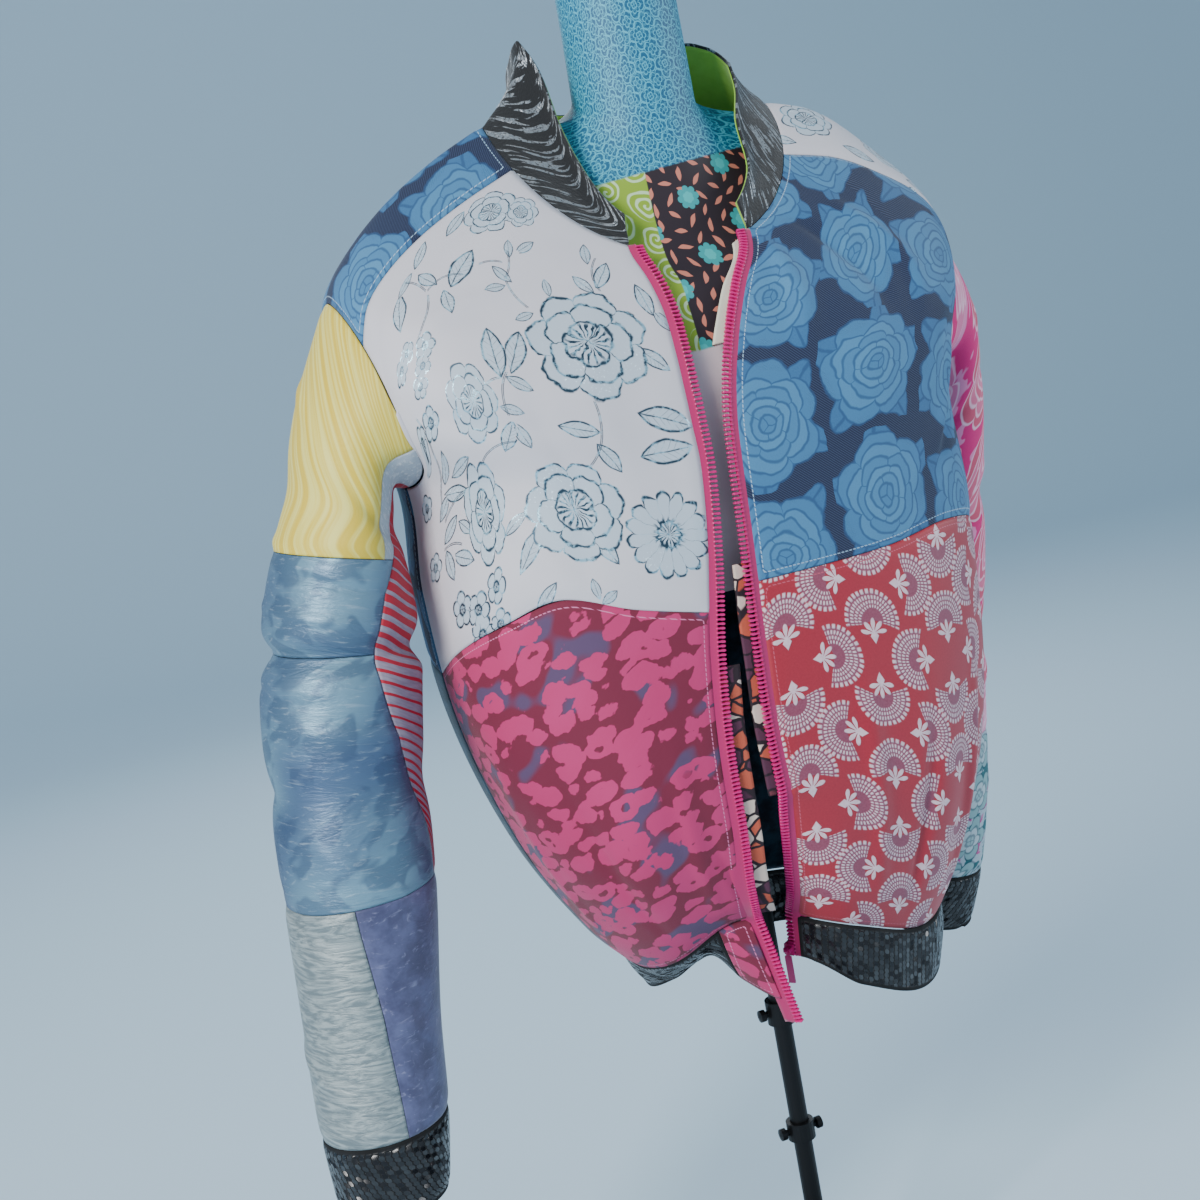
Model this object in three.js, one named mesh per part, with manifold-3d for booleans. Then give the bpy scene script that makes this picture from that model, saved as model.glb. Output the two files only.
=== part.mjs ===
// A patchwork bomber jacket that hangs open on a short limbless dress form with a pole and a round base.
// Lengths are millimetres and angles degrees. X runs to the wearer's left, the front faces -Y, Z is up,
// and the origin is the middle of the base's underside.
import * as THREE from 'three';
import Module from 'manifold-3d';
import { mergeVertices } from 'three/addons/utils/BufferGeometryUtils.js';

// Driving sizes
const WALL = 2;                 // cloth thickness
const SEAM = 0.5;               // gap between two sewn pieces
const HALF_SEAM = SEAM / 2;
const BASE_RADIUS = 165;
const BASE_THICK = 12;
const POLE_RADIUS = 7;
const FORM_BOTTOM = 605;        // height of the form's flat underside
const NECK_RADIUS = 42;
const NECK_TOP = 1062;

const RAD = Math.PI / 180;
const sin = (deg) => Math.sin(deg * RAD);
const cos = (deg) => Math.cos(deg * RAD);
const point = (x, y, z) => new THREE.Vector3(x, y, z);

// Rows of numbers become objects with the given names.
function table(names, rows) {
  return rows.map((row) => Object.fromEntries(names.map((name, i) => [name, row[i]])));
}

// A smooth curve through a table's rows, read at t of its first column: Hermite pieces whose slope at a
// row is that between its two neighbours.
function smooth(rows, t) {
  const names = Object.keys(rows[0]);
  const key = names[0];
  const last = rows.length - 1;
  const at = Math.min(Math.max(t, rows[0][key]), rows[last][key]);
  let i = 0;
  while (i < last - 1 && rows[i + 1][key] < at) i += 1;
  const slope = (k, name) => {
    const a = rows[Math.max(k - 1, 0)];
    const b = rows[Math.min(k + 1, last)];
    return (b[name] - a[name]) / (b[key] - a[key]);
  };
  const step = rows[i + 1][key] - rows[i][key];
  const u = (at - rows[i][key]) / step;
  const result = {};
  for (const name of names) {
    result[name] = (2 * u ** 3 - 3 * u ** 2 + 1) * rows[i][name]
      + (u ** 3 - 2 * u ** 2 + u) * step * slope(i, name)
      + (3 * u ** 2 - 2 * u ** 3) * rows[i + 1][name]
      + (u ** 3 - u ** 2) * step * slope(i + 1, name);
  }
  return result;
}

// Body of the jacket: rings from the hem seam (v 0) to the neck seam (v 1). Each has its half width on
// the wearer's right and left, its depth in front and behind, how square it is, how round its rise to
// the sides is (2 is round, 1 has a ridge), and its heights in front, at the sides and behind.
const BODY = table(
  ['v', 'right', 'left', 'front', 'back', 'square', 'middle', 'round', 'zFront', 'zRight', 'zLeft', 'zBack'], [
    [0.00, 106, 139, 100, 100, 0.10, 5, 2.0, 362, 336, 328, 340],
    [0.07, 132, 153, 118, 118, 0.15, 5, 2.0, 388, 368, 362, 366],
    [0.20, 170, 173, 136, 136, 0.25, 4, 2.0, 447, 440, 436, 440],
    [0.35, 198, 190, 143, 146, 0.30, 2, 2.0, 530, 536, 532, 534],
    [0.50, 206, 197, 140, 146, 0.35, 0, 1.9, 625, 632, 628, 630],
    [0.60, 203, 194, 133, 142, 0.42, 0, 1.7, 690, 706, 700, 702],
    [0.66, 229, 203, 128, 138, 0.50, 0, 1.6, 722, 748, 744, 744],
    [0.70, 239, 215, 124, 134, 0.50, 0, 1.5, 742, 786, 780, 772],
    [0.76, 231, 219, 116, 126, 0.40, 0, 1.4, 764, 832, 820, 806],
    [0.80, 216, 209, 110, 120, 0.30, 0, 1.3, 777, 856, 850, 826],
    [0.88, 181, 179, 98, 104, 0.20, 0, 1.15, 798, 888, 884, 868],
    [0.94, 142, 149, 92, 90, 0.10, 2, 1.1, 812, 912, 908, 894],
    [1.00, 101, 112, 84, 74, 0.00, 4, 1.1, 824, 931, 920, 915]]);

// Main folds of the body: soft ridges that run upwards, each at an angle phi with its slant, from v low
// to v high, its half width in degrees, and its height above the cloth.
const BODY_FOLDS = table(['phi', 'slant', 'low', 'high', 'wide', 'rise'], [
  [-44, 20, 0.00, 0.42, 9, 5],
  [-70, -10, 0.05, 0.50, 9, 5],
  [24, -10, 0.50, 0.98, 8, 6],
  [44, 8, 0.45, 0.90, 8, 4],
  [34, -16, 0.00, 0.40, 9, 5],
  [64, 12, 0.02, 0.48, 9, 5],
  [150, 10, 0.05, 0.60, 12, 6],
  [-150, -10, 0.05, 0.60, 12, 6]]);

// Waves of the hem seam: where it rises or dips, over what half width, and how much.
const HEM_WAVES = table(['phi', 'wide', 'rise'], [
  [-32, 22, 20],
  [35, 28, -22]]);
const HEM_WAVE_TOP = 0.3;

// Angles of the two front edges, where the zip is sewn on.
const FRONT_EDGE = table(['v', 'right', 'left'], [
  [0.00, -27, -3],
  [0.10, -25, -5.5],
  [0.20, -22.5, -7],
  [0.32, -20.5, -8],
  [0.42, -18.2, -7.5],
  [0.50, -15.5, -6.5],
  [0.60, -13, -5],
  [0.68, -10.8, -2.5],
  [0.78, -10.5, 1.5],
  [0.88, -12.5, 7.5],
  [0.94, -17, 14],
  [1.00, -25, 23]]);

// Lower left front edge: how far it rolls inwards, over what width, and how far past the edge it goes on.
const EDGE_ROLL = { depth: 24, width: 36, top: 0.24, past: 20 };

function foldHeight(phi, v) {
  let height = 0;
  for (const fold of BODY_FOLDS) {
    const along = (v - fold.low) / (fold.high - fold.low);
    if (along > 0 && along < 1) {
      const off = (phi - fold.phi - fold.slant * (along - 0.5)) / fold.wide;
      height += fold.rise * Math.sin(Math.PI * along) ** 2 * Math.exp(-off * off);
    }
  }
  return height;
}

// A point of the jacket's body, and with plain true the same without its folds, for the form.
function bodyPoint(phi, v, plain = false) {
  const ring = smooth(BODY, v);
  const side = sin(phi);
  const ahead = cos(phi);
  const wide = side < 0 ? ring.right : ring.left;
  const deep = ahead > 0 ? ring.front : ring.back;
  const zEnd = ahead > 0 ? ring.zFront : ring.zBack;
  const zSide = side < 0 ? ring.zRight : ring.zLeft;
  const p = point(
    wide * side,
    ring.middle - deep * ahead * (1 + ring.square * side * side),
    zSide + (zEnd - zSide) * Math.abs(ahead) ** ring.round);
  if (plain) return p;
  if (v < HEM_WAVE_TOP) {
    for (const wave of HEM_WAVES) {
      p.z += wave.rise * (1 - v / HEM_WAVE_TOP) ** 2 * Math.exp(-(((phi - wave.phi) / wave.wide) ** 2));
    }
  }
  const height = foldHeight(phi, v);
  p.x += height * side;
  p.y -= height * ahead;
  const edge = smooth(FRONT_EDGE, v).left;
  const across = (phi - edge) * RAD * wide;
  if (v < EDGE_ROLL.top && across < EDGE_ROLL.width && across > -EDGE_ROLL.past) {
    const share = (1 - v / EDGE_ROLL.top) ** 0.7 * (1 - Math.max(across, 0) / EDGE_ROLL.width) ** 2;
    p.y += EDGE_ROLL.depth * share;
  }
  return p;
}

// The outward direction of a surface f(a, b), from two short steps. The order of a and b sets the side.
function normalOf(f, a, b, stepA, stepB) {
  const alongA = f(a + stepA, b).sub(f(a - stepA, b));
  const alongB = f(a, b + stepB).sub(f(a, b - stepB));
  return alongA.cross(alongB).normalize();
}

function bodyNormal(phi, v, plain = false) {
  const inside = Math.min(Math.max(v, 0.004), 0.996);
  return normalOf((a, b) => bodyPoint(a, b, plain), phi, inside, 1, 0.004);
}

// The direction shared by two surfaces that meet at a seam, so that their walls meet on one line.
function between(first, second) {
  const sum = first.clone().add(second);
  return sum.length() < 0.15 ? point(0, 0, -1) : sum.normalize();
}

// Armholes: closed loops on the body around the side, theta 0 at the shoulder, 90 in front.
const ARMHOLE = {
  right: { phi: -90, half: 23, middle: 0.68, reach: 0.082 },
  left: { phi: 93, half: 23, middle: 0.68, reach: 0.082 },
};

function armholeAngles(side, theta) {
  const hole = ARMHOLE[side];
  const forward = side === 'right' ? 1 : -1;
  return [hole.phi + forward * hole.half * sin(theta), hole.middle + hole.reach * cos(theta)];
}

// Sleeve sections from the shoulder (s 0 is the armhole) to the cuff's edge (s 1): the middle of each
// ring, its half width outwards and half depth forwards, and the lean of the ring outwards and forwards.
const SLEEVE = {
  right: table(['s', 'x', 'y', 'z', 'wide', 'deep', 'lean', 'pitch'], [
    [0.10, -239, -3, 738, 41, 62, 55, 0],
    [0.20, -253, -4, 685, 40, 58, 23, 0],
    [0.30, -262, -6, 648, 48, 56, 9, 0],
    [0.37, -269, -8, 611, 53, 55, 7, 0],
    [0.474, -280, -9, 550, 53, 54, 6, 0],
    [0.64, -290, -12, 452, 51, 52, 6, 0],
    [0.795, -301, -15, 361, 46, 47, 5, 0],
    [0.90, -307, -18, 298, 44, 45, 5, 0],
    [1.00, -312, -20, 240, 38, 39, 5, 0]]),
  left: table(['s', 'x', 'y', 'z', 'wide', 'deep', 'lean', 'pitch'], [
    [0.10, 228, 26, 740, 34, 60, 52, 6],
    [0.20, 237, 50, 690, 36, 56, 24, 14],
    [0.30, 241, 72, 645, 40, 54, 10, 18],
    [0.45, 243, 98, 560, 42, 53, 4, 16],
    [0.60, 243, 122, 470, 42, 52, 2, 12],
    [0.78, 242, 142, 362, 42, 49, 0, 10],
    [0.92, 236, 155, 282, 39, 44, 0, 8],
    [1.00, 229, 162, 232, 33, 37, 0, 8]]),
};

// Cross folds of the sleeves: grooves all round at s, with their half width in s and their depth.
const SLEEVE_FOLDS = {
  right: table(['s', 'wide', 'deep'], [[0.37, 0.018, 8], [0.17, 0.025, 3], [0.52, 0.03, 3]]),
  left: table(['s', 'wide', 'deep'], [[0.36, 0.03, 4], [0.56, 0.03, 3]]),
};

function sleeveRing(row, side, theta) {
  const outward = side === 'right' ? -1 : 1;
  const out = point(outward * cos(row.lean), 0, sin(row.lean));
  const ahead = point(0, -cos(row.pitch), -sin(row.pitch));
  return point(row.x, row.y, row.z)
    .addScaledVector(out, row.wide * cos(theta))
    .addScaledVector(ahead, row.deep * sin(theta));
}

// A point of a sleeve: a smooth curve along the sleeve through the same theta of every section.
function sleevePoint(side, theta, s) {
  const rings = [{ s: 0, p: bodyPoint(...armholeAngles(side, theta)) }];
  for (const row of SLEEVE[side]) rings.push({ s: row.s, p: sleeveRing(row, side, theta) });
  const p = smooth(rings.map((ring) => ({ s: ring.s, x: ring.p.x, y: ring.p.y, z: ring.p.z })), s);
  const result = point(p.x, p.y, p.z);
  let groove = 0;
  for (const fold of SLEEVE_FOLDS[side]) {
    const off = (s - fold.s) / fold.wide;
    groove += fold.deep * Math.exp(-off * off);
  }
  const outward = side === 'right' ? -1 : 1;
  result.x -= groove * outward * cos(theta);
  result.y += groove * sin(theta);
  return result;
}

function sleeveNormal(side, theta, s) {
  const inside = Math.min(Math.max(s, 0.01), 0.99);
  const n = normalOf((a, b) => sleevePoint(side, a, b), theta, inside, 2, 0.01);
  return side === 'left' ? n : n.negate();
}

function armholeNormal(side, theta) {
  return between(bodyNormal(...armholeAngles(side, theta)), sleeveNormal(side, theta, 0));
}

// Collar: its height and how far its top leans outwards, around the neck seam.
const COLLAR = table(['phi', 'height', 'lean'], [
  [-23, 19, -4],
  [-40, 30, -22],
  [-60, 44, -36],
  [-75, 54, -40],
  [-90, 52, -36],
  [-115, 46, -26],
  [-150, 30, -6],
  [-180, 24, 0],
  [-205, 40, -4],
  [-225, 56, -10],
  [-245, 48, -18],
  [-270, 30, -22],
  [-300, 38, -26],
  [-322, 26, -12],
  [-338, 18, -4]]);

function collarPoint(phi, t, depth = 0) {
  const turned = phi > -10 ? phi - 360 : phi;
  const row = smooth([...COLLAR].reverse(), turned);
  const base = bodyPoint(phi, 1);
  const lean = row.lean * Math.sin(t * 90 * RAD) - depth;
  return point(
    base.x + lean * sin(phi),
    base.y - lean * cos(phi),
    base.z + row.height * (0.35 * t * t + 0.65 * t));
}

function collarNormal(phi, t) {
  const inside = Math.min(Math.max(t, 0.05), 0.95);
  return normalOf((a, b) => collarPoint(a, b), phi, inside, 1, 0.05);
}

// Hem band: the way its width points, from the hem seam outwards, around the body. In the right front
// it is tucked in under the panel, and beside the right zip its end hangs forward.
const BAND = table(['phi', 'x', 'y', 'z', 'length'], [
  [-180, 0.00, -0.14, -1.00, 42],
  [-150, 0.06, -0.12, -1.00, 42],
  [-130, 0.20, -0.08, -0.96, 42],
  [-108, 0.42, 0.02, -0.82, 41],
  [-86, 0.70, 0.18, -0.50, 39],
  [-64, 0.74, 0.46, -0.25, 36],
  [-50, 0.52, 0.62, -0.42, 38],
  [-39, 0.33, 0.30, -0.85, 52],
  [-27, 0.22, 0.02, -0.97, 64],
  [-3, -0.02, 0.12, -0.98, 32],
  [12, -0.06, 0.08, -0.98, 44],
  [60, -0.18, 0.02, -0.98, 46],
  [100, -0.20, -0.02, -0.98, 44],
  [140, -0.10, -0.10, -1.00, 42],
  [180, 0.00, -0.14, -1.00, 42]]);

function bandPoint(phi, t) {
  const turned = phi > 180 ? phi - 360 : phi;
  const row = smooth(BAND, turned);
  const way = point(row.x, row.y, row.z).normalize();
  return bodyPoint(phi, 0).addScaledVector(way, row.length * t);
}

function bandNormal(phi, t) {
  const inside = Math.min(Math.max(t, 0.05), 0.95);
  return normalOf((a, b) => bandPoint(a, b), phi, inside, 1, 0.05).negate();
}

// Normal of a body vertex: where the body meets the neck, the hem or a sleeve, the shared one.
function sewnNormal(vertex) {
  const [phi, v, hole] = vertex;
  const own = bodyNormal(phi, v);
  if (hole) return armholeNormal(hole.side, hole.theta);
  if (v > 0.9999) return between(own, collarNormal(phi, 0));
  if (v < 0.0001) return between(own, bandNormal(phi, 0));
  return own;
}

// Grids of seam points. A side of a panel is a list of [phi, v], or [phi, v, armhole place].
const spread = (from, to, shares) => shares.map((share) => from + (to - from) * share);
const even = (count) => Array.from({ length: count + 1 }, (_, i) => i / count);

// A panel's grid from its four sides. A row runs between its places on the bottom and top, by its share,
// and is bent so that it starts and ends on the sides. The bend dies away inwards as a square.
function panelGrid(bottom, top, left, right, shares) {
  const rows = left.length - 1;
  const columns = bottom.length - 1;
  return left.map((_, i) => bottom.map((__, j) => {
    if (j === 0) return left[i];
    if (j === columns) return right[i];
    if (i === 0) return bottom[j];
    if (i === rows) return top[j];
    const u = j / columns;
    const w = shares[i];
    const straight = (at, k) => (1 - w) * bottom[at][k] + w * top[at][k];
    return [0, 1].map((k) => straight(j, k)
      + (1 - u) ** 2 * (left[i][k] - straight(0, k))
      + u ** 2 * (right[i][k] - straight(columns, k)));
  }));
}

// A closed solid from points and triangles, turned so that its faces point outwards.
function solid(points, faces) {
  let volume = 0;
  for (const [a, b, c] of faces) volume += points[a].dot(points[b].clone().cross(points[c]));
  const geometry = new THREE.BufferGeometry();
  const flat = points.flatMap((p) => [p.x, p.y, p.z]);
  geometry.setAttribute('position', new THREE.Float32BufferAttribute(flat, 3));
  geometry.setIndex(faces.flatMap(([a, b, c]) => (volume > 0 ? [a, b, c] : [a, c, b])));
  return geometry;
}

// A wall of cloth from a grid of points and their outward directions. Its edges are drawn in by half a
// seam, square to the seam and to the outward direction, so that both sides of a seam stay clear of it.
// A round wall closes on itself from its last column to its first.
function wall(points, normals, { thick = WALL, sink = 0, round = false } = {}) {
  const rows = points.length;
  const columns = points[0].length;
  const drawn = points.map((row) => row.map((p) => p.clone()));
  const drawIn = (places, next) => {
    const last = places.length - 1;
    const near = (k) => {
      const [i, j] = places[round ? (k + places.length) % places.length : Math.min(Math.max(k, 0), last)];
      return points[i][j];
    };
    const ways = places.map(([i, j], k) => (
      normals[i][j].clone().cross(near(k + 1).clone().sub(near(k - 1))).normalize()));
    const lead = ways.reduce((sum, way, k) => {
      const [i, j] = next[k];
      return sum + way.dot(points[i][j].clone().sub(near(k)));
    }, 0);
    places.forEach(([i, j], k) => drawn[i][j].addScaledVector(ways[k], Math.sign(lead) * HALF_SEAM));
  };
  const rowPlaces = (i) => points[0].map((_, j) => [i, j]);
  const columnPlaces = (j) => points.map((_, i) => [i, j]);
  drawIn(rowPlaces(0), rowPlaces(1));
  drawIn(rowPlaces(rows - 1), rowPlaces(rows - 2));
  if (!round) {
    drawIn(columnPlaces(0), columnPlaces(1));
    drawIn(columnPlaces(columns - 1), columnPlaces(columns - 2));
  }
  const outer = drawn.map((row, i) => row.map((p, j) => p.clone().addScaledVector(normals[i][j], -sink)));
  const inner = drawn.map((row, i) => row.map((p, j) => (
    p.clone().addScaledVector(normals[i][j], -sink - thick))));
  const all = [...outer.flat(), ...inner.flat()];
  const out = (i, j) => i * columns + (j % columns);
  const back = (i, j) => rows * columns + out(i, j);
  const faces = [];
  const quad = (a, b, c, d) => faces.push([a, b, c], [a, c, d]);
  // Two pieces that meet at a seam split the edges of their walls along the same diagonal.
  const edge = (a, b, c, d) => {
    const from = all[a];
    const lead = all[b].clone().sub(from).dot(point(1, 1.7, 2.3)) > 0;
    if (lead) faces.push([a, b, c], [a, c, d]);
    else faces.push([a, b, d], [b, c, d]);
  };
  const lastColumn = round ? columns : columns - 1;
  for (let i = 0; i < rows - 1; i += 1) {
    for (let j = 0; j < lastColumn; j += 1) {
      quad(out(i, j), out(i, j + 1), out(i + 1, j + 1), out(i + 1, j));
      quad(back(i, j), back(i + 1, j), back(i + 1, j + 1), back(i, j + 1));
    }
  }
  for (let j = 0; j < lastColumn; j += 1) {
    edge(out(0, j + 1), out(0, j), back(0, j), back(0, j + 1));
    edge(out(rows - 1, j), out(rows - 1, j + 1), back(rows - 1, j + 1), back(rows - 1, j));
  }
  for (let i = 0; i < rows - 1 && !round; i += 1) {
    edge(out(i, 0), out(i + 1, 0), back(i + 1, 0), back(i, 0));
    edge(out(i + 1, columns - 1), out(i, columns - 1), back(i, columns - 1), back(i + 1, columns - 1));
  }
  return solid(all, faces);
}

const group = new THREE.Group();

const wasm = await Module();
wasm.setup();

function toManifold(geometry) {
  return new wasm.Manifold(new wasm.Mesh({
    numProp: 3,
    vertProperties: new Float32Array(geometry.attributes.position.array),
    triVerts: new Uint32Array(geometry.index.array),
  }));
}

function fromManifold(body) {
  const mesh = body.getMesh();
  const geometry = new THREE.BufferGeometry();
  geometry.setAttribute('position', new THREE.Float32BufferAttribute(mesh.vertProperties, 3));
  geometry.setIndex(Array.from(mesh.triVerts));
  return geometry;
}

function add(name, geometry, color, roughness, metalness = 0) {
  geometry.computeVertexNormals();
  const material = new THREE.MeshStandardMaterial({ color, roughness, metalness });
  const mesh = new THREE.Mesh(geometry, material);
  mesh.name = name;
  group.add(mesh);
}

function addPanel(name, grid, color, roughness, metalness) {
  const points = grid.map((row) => row.map(([phi, v]) => bodyPoint(phi, v)));
  const normals = grid.map((row) => row.map((vertex) => sewnNormal(vertex)));
  add(name, wall(points, normals), color, roughness, metalness);
  return { points, normals };
}

// Theta of the seam points round an armhole, from the underarm forwards, over the top and back.
const HOLE_FRONT = [180, 172, 157.75, 143.5, 129.25, 115, 93, 72, 50];
const HOLE_TOP = [50, 33, 16, 0, -16, -33, -50];
const HOLE_BACK = [-50, -72, -95, -115, -134, -153, -172, -180];

function holePoints(side, thetas) {
  return thetas.map((theta) => [...armholeAngles(side, theta), { side, theta }]);
}

// Where the cloths are joined. Front seams run from the zip to the side seam; v at each share of it.
const SIDE_SEAM = { right: -90, left: 90 };
const CLOTH_SEAM = {
  right: table(['share', 'v'], [
    [0, 0.458], [0.2, 0.475], [0.4, 0.494], [0.6, 0.474], [0.8, 0.448], [1, 0.414]]),
  left: table(['share', 'v'], [[0, 0.478], [0.3, 0.48], [0.5, 0.487], [0.75, 0.468], [1, 0.425]]),
};
const BACK_SEAM_V = 0.45;
const YOKE_NECK = { right: -70, left: 63 };
const YOKE_NECK_BACK = { right: -122, left: 122 };
const ACROSS = [0, 0.05, 0.11, 0.2, 0.31, 0.43, 0.57, 0.71, 0.85, 1];
const NECK_SHARES = [0, 0.2, 0.45, 0.7, 1];
const YOKE_STEPS = even(5);
const LOWER_ROWS = even(8);
const SIDE_ROWS = even(4);
const FRONT_RISE = [0, 0.04, 0.08, 0.12, 0.16, 0.2, 0.25, 0.32, 0.42, 0.54, 0.68, 0.84, 1];
const BACK_RISE = [0, 0.04, 0.08, 0.12, 0.16, 0.21, 0.28, 0.38, 0.51, 0.66, 0.83, 1];

// The neck seam of a yoke: three steps to the shoulder line, where phi is 90, and three behind it.
function yokeNeck(side) {
  const middle = SIDE_SEAM[side];
  return [
    ...spread(YOKE_NECK[side], middle, even(3)),
    ...spread(middle, YOKE_NECK_BACK[side], even(3)).slice(1)];
}

const line = (a, b, shares) => shares.map((share) => [
  a[0] + (b[0] - a[0]) * share, a[1] + (b[1] - a[1]) * share]);

function frontPanels(side, upper, lower) {
  const edge = (v) => smooth(FRONT_EDGE, v)[side];
  const seamSide = SIDE_SEAM[side];
  const clothV = (share) => smooth(CLOTH_SEAM[side], share).v;
  const edgeLine = (from, to, shares) => spread(from, to, shares).map((v) => [edge(v), v]);
  const zipV = clothV(0);
  const sideV = clothV(1);
  const hem = ACROSS.map((share) => [edge(0) + (seamSide - edge(0)) * share, 0]);
  const cloth = ACROSS.map((share) => [edge(zipV) + (seamSide - edge(zipV)) * share, clothV(share)]);
  const hole = holePoints(side, HOLE_FRONT);
  const armpit = hole[0];
  const shoulder = hole[hole.length - 1];
  const neck = spread(edge(1), YOKE_NECK[side], NECK_SHARES).map((phi) => [phi, 1]);
  const yoke = line([YOKE_NECK[side], 1], shoulder, YOKE_STEPS);
  const top = [...neck, ...yoke.slice(1, -1), shoulder];
  const sideLow = line([seamSide, 0], [seamSide, sideV], LOWER_ROWS);
  const sideHigh = [...line([seamSide, sideV], armpit, SIDE_ROWS).slice(0, -1), ...hole];
  const zipLow = edgeLine(0, zipV, LOWER_ROWS);
  const zipHigh = edgeLine(zipV, 1, FRONT_RISE);
  const flip = side === 'right';
  const order = (list) => (flip ? [...list].reverse() : list);
  const make = (bottom, high, atZip, atSide, shares) => (flip
    ? panelGrid(order(bottom), order(high), atSide, atZip, shares)
    : panelGrid(bottom, high, atZip, atSide, shares));
  return {
    low: addPanel(`${side}_front_lower`, make(hem, cloth, zipLow, sideLow, LOWER_ROWS), ...lower),
    high: addPanel(`${side}_front_upper`, make(cloth, top, zipHigh, sideHigh, FRONT_RISE), ...upper),
    sideV,
  };
}

const WHITE = [0xc8c8cd, 0.6];
const LEOPARD = [0xb02860, 0.7];
const DENIM = [0x234060, 0.85];
const FANS = [0xa52840, 0.6];
const DARK_FOIL = [0x20384a, 0.4, 0.4];
const BLACK = [0x0c0c10, 0.9];

const fronts = {
  right: frontPanels('right', WHITE, LEOPARD),
  left: frontPanels('left', DENIM, FANS),
};

// Shoulder yokes, between the front yoke seam, the neck, the back yoke seam and the armhole's top.
function yoke(side, cloth) {
  const hole = holePoints(side, HOLE_TOP);
  const neck = yokeNeck(side).map((phi) => [phi, 1]);
  const fore = line([YOKE_NECK[side], 1], hole[0], YOKE_STEPS);
  const rear = line([YOKE_NECK_BACK[side], 1], hole[hole.length - 1], YOKE_STEPS);
  const downward = (list) => [...list].reverse();
  const grid = side === 'left'
    ? panelGrid(hole, neck, downward(fore), downward(rear), YOKE_STEPS)
    : panelGrid(downward(hole), downward(neck), downward(rear), downward(fore), YOKE_STEPS);
  addPanel(`${side}_yoke`, grid, ...cloth);
}
yoke('right', DENIM);
yoke('left', WHITE);

// Back: one upper and one lower panel from side seam to side seam, phi from the left side on to 270.
function backPanels() {
  const turn = (list) => list.map(([phi, ...rest]) => [phi < 0 ? phi + 360 : phi, ...rest]);
  const holes = {
    left: holePoints('left', [...HOLE_BACK].reverse()),
    right: turn(holePoints('right', [...HOLE_BACK].reverse())),
  };
  const tops = {
    left: line(holes.left[holes.left.length - 1], [YOKE_NECK_BACK.left, 1], YOKE_STEPS),
    right: line([YOKE_NECK_BACK.right + 360, 1], holes.right[holes.right.length - 1], YOKE_STEPS),
  };
  const neck = spread(YOKE_NECK_BACK.left, YOKE_NECK_BACK.right + 360, even(8)).map((phi) => [phi, 1]);
  const top = [
    holes.left[holes.left.length - 1], ...tops.left.slice(1, -1), ...neck,
    ...tops.right.slice(1, -1), holes.right[holes.right.length - 1]];
  const steps = even(top.length - 1);
  const seamV = (share) => {
    const ends = fronts.left.sideV * (1 - share) + fronts.right.sideV * share;
    return ends + (BACK_SEAM_V - ends) * Math.sin(Math.PI * share);
  };
  const cloth = steps.map((share) => [90 + 180 * share, seamV(share)]);
  const hem = steps.map((share) => [90 + 180 * share, 0]);
  const low = (phi, v) => line([phi, 0], [phi, v], LOWER_ROWS);
  const high = (phi, v, hole) => [...line([phi, v], hole[0], SIDE_ROWS).slice(0, -1), ...hole];
  addPanel('back_lower',
    panelGrid(hem, cloth, low(90, fronts.left.sideV), low(270, fronts.right.sideV), LOWER_ROWS),
    ...DARK_FOIL);
  addPanel('back_upper', panelGrid(cloth, top,
    high(90, fronts.left.sideV, holes.left), high(270, fronts.right.sideV, holes.right), BACK_RISE),
  ...DENIM);
  return hem.map(([phi]) => phi);
}
const backHem = backPanels();

// Sleeves. The columns of the right sleeve bend to follow its seams: the gusset's back edge, the seam
// between its front cloths, the gusset's front edge, and round to the back edge again.
const RIGHT_LINES = table(['s', 'back', 'front', 'gusset', 'round'], [
  [0.00, -172, 115, 172, 188],
  [0.10, -160, 118, 152, 200],
  [0.23, -140, 116, 128, 220],
  [0.37, -122, 94, 104, 238],
  [0.46, -130, 84, 118, 230],
  [0.60, -172, 74, 154, 188],
  [0.64, -178, 72, 158, 182],
  [0.78, -160, 88, 168, 200],
  [1.00, -150, 104, 172, 210]]);
const OUTER_SHARES = [...HOLE_BACK.slice(0, -1).reverse(), ...HOLE_TOP.slice(1, -1).reverse(),
  ...HOLE_FRONT.slice(5).reverse()].map((theta) => (theta + 172) / 287);
const FRONT_SHARES = even(4);
const GUSSET_SHARES = even(2);
const GUSSET_START = OUTER_SHARES.length - 1 + FRONT_SHARES.length - 1;
const FRONT_START = OUTER_SHARES.length - 1;

// Rows of the right sleeve, with those at which cloths are joined.
const RIGHT_ROWS = [0, 0.04, 0.08, 0.12, 0.16, 0.2, 0.233, 0.27, 0.31, 0.348, 0.37,
  0.392, 0.43, 0.48, 0.53, 0.59, 0.64, 0.7, 0.77, 0.84, 0.907, 0.955, 1];
const ROW = { yellowEnd: 6, elbow: 10, foilEnd: 16, cuff: 20, end: 22 };
const LEFT_ROWS = [0, 0.04, 0.08, 0.12, 0.17, 0.22, 0.28, 0.34, 0.4, 0.46, 0.52, 0.58, 0.64, 0.7,
  0.76, 0.82, 0.87, 0.92, 0.96, 1];
const LEFT_ROW = { rose: 13, cuff: 17, end: 19 };
// How far a seam's outer side lies further down the sleeve than its middle.
const SLANT = table(['s', 'drop'], [[0, 0], [0.23, 0.004], [0.37, 0], [0.64, 0.01], [1, 0.008]]);

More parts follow.
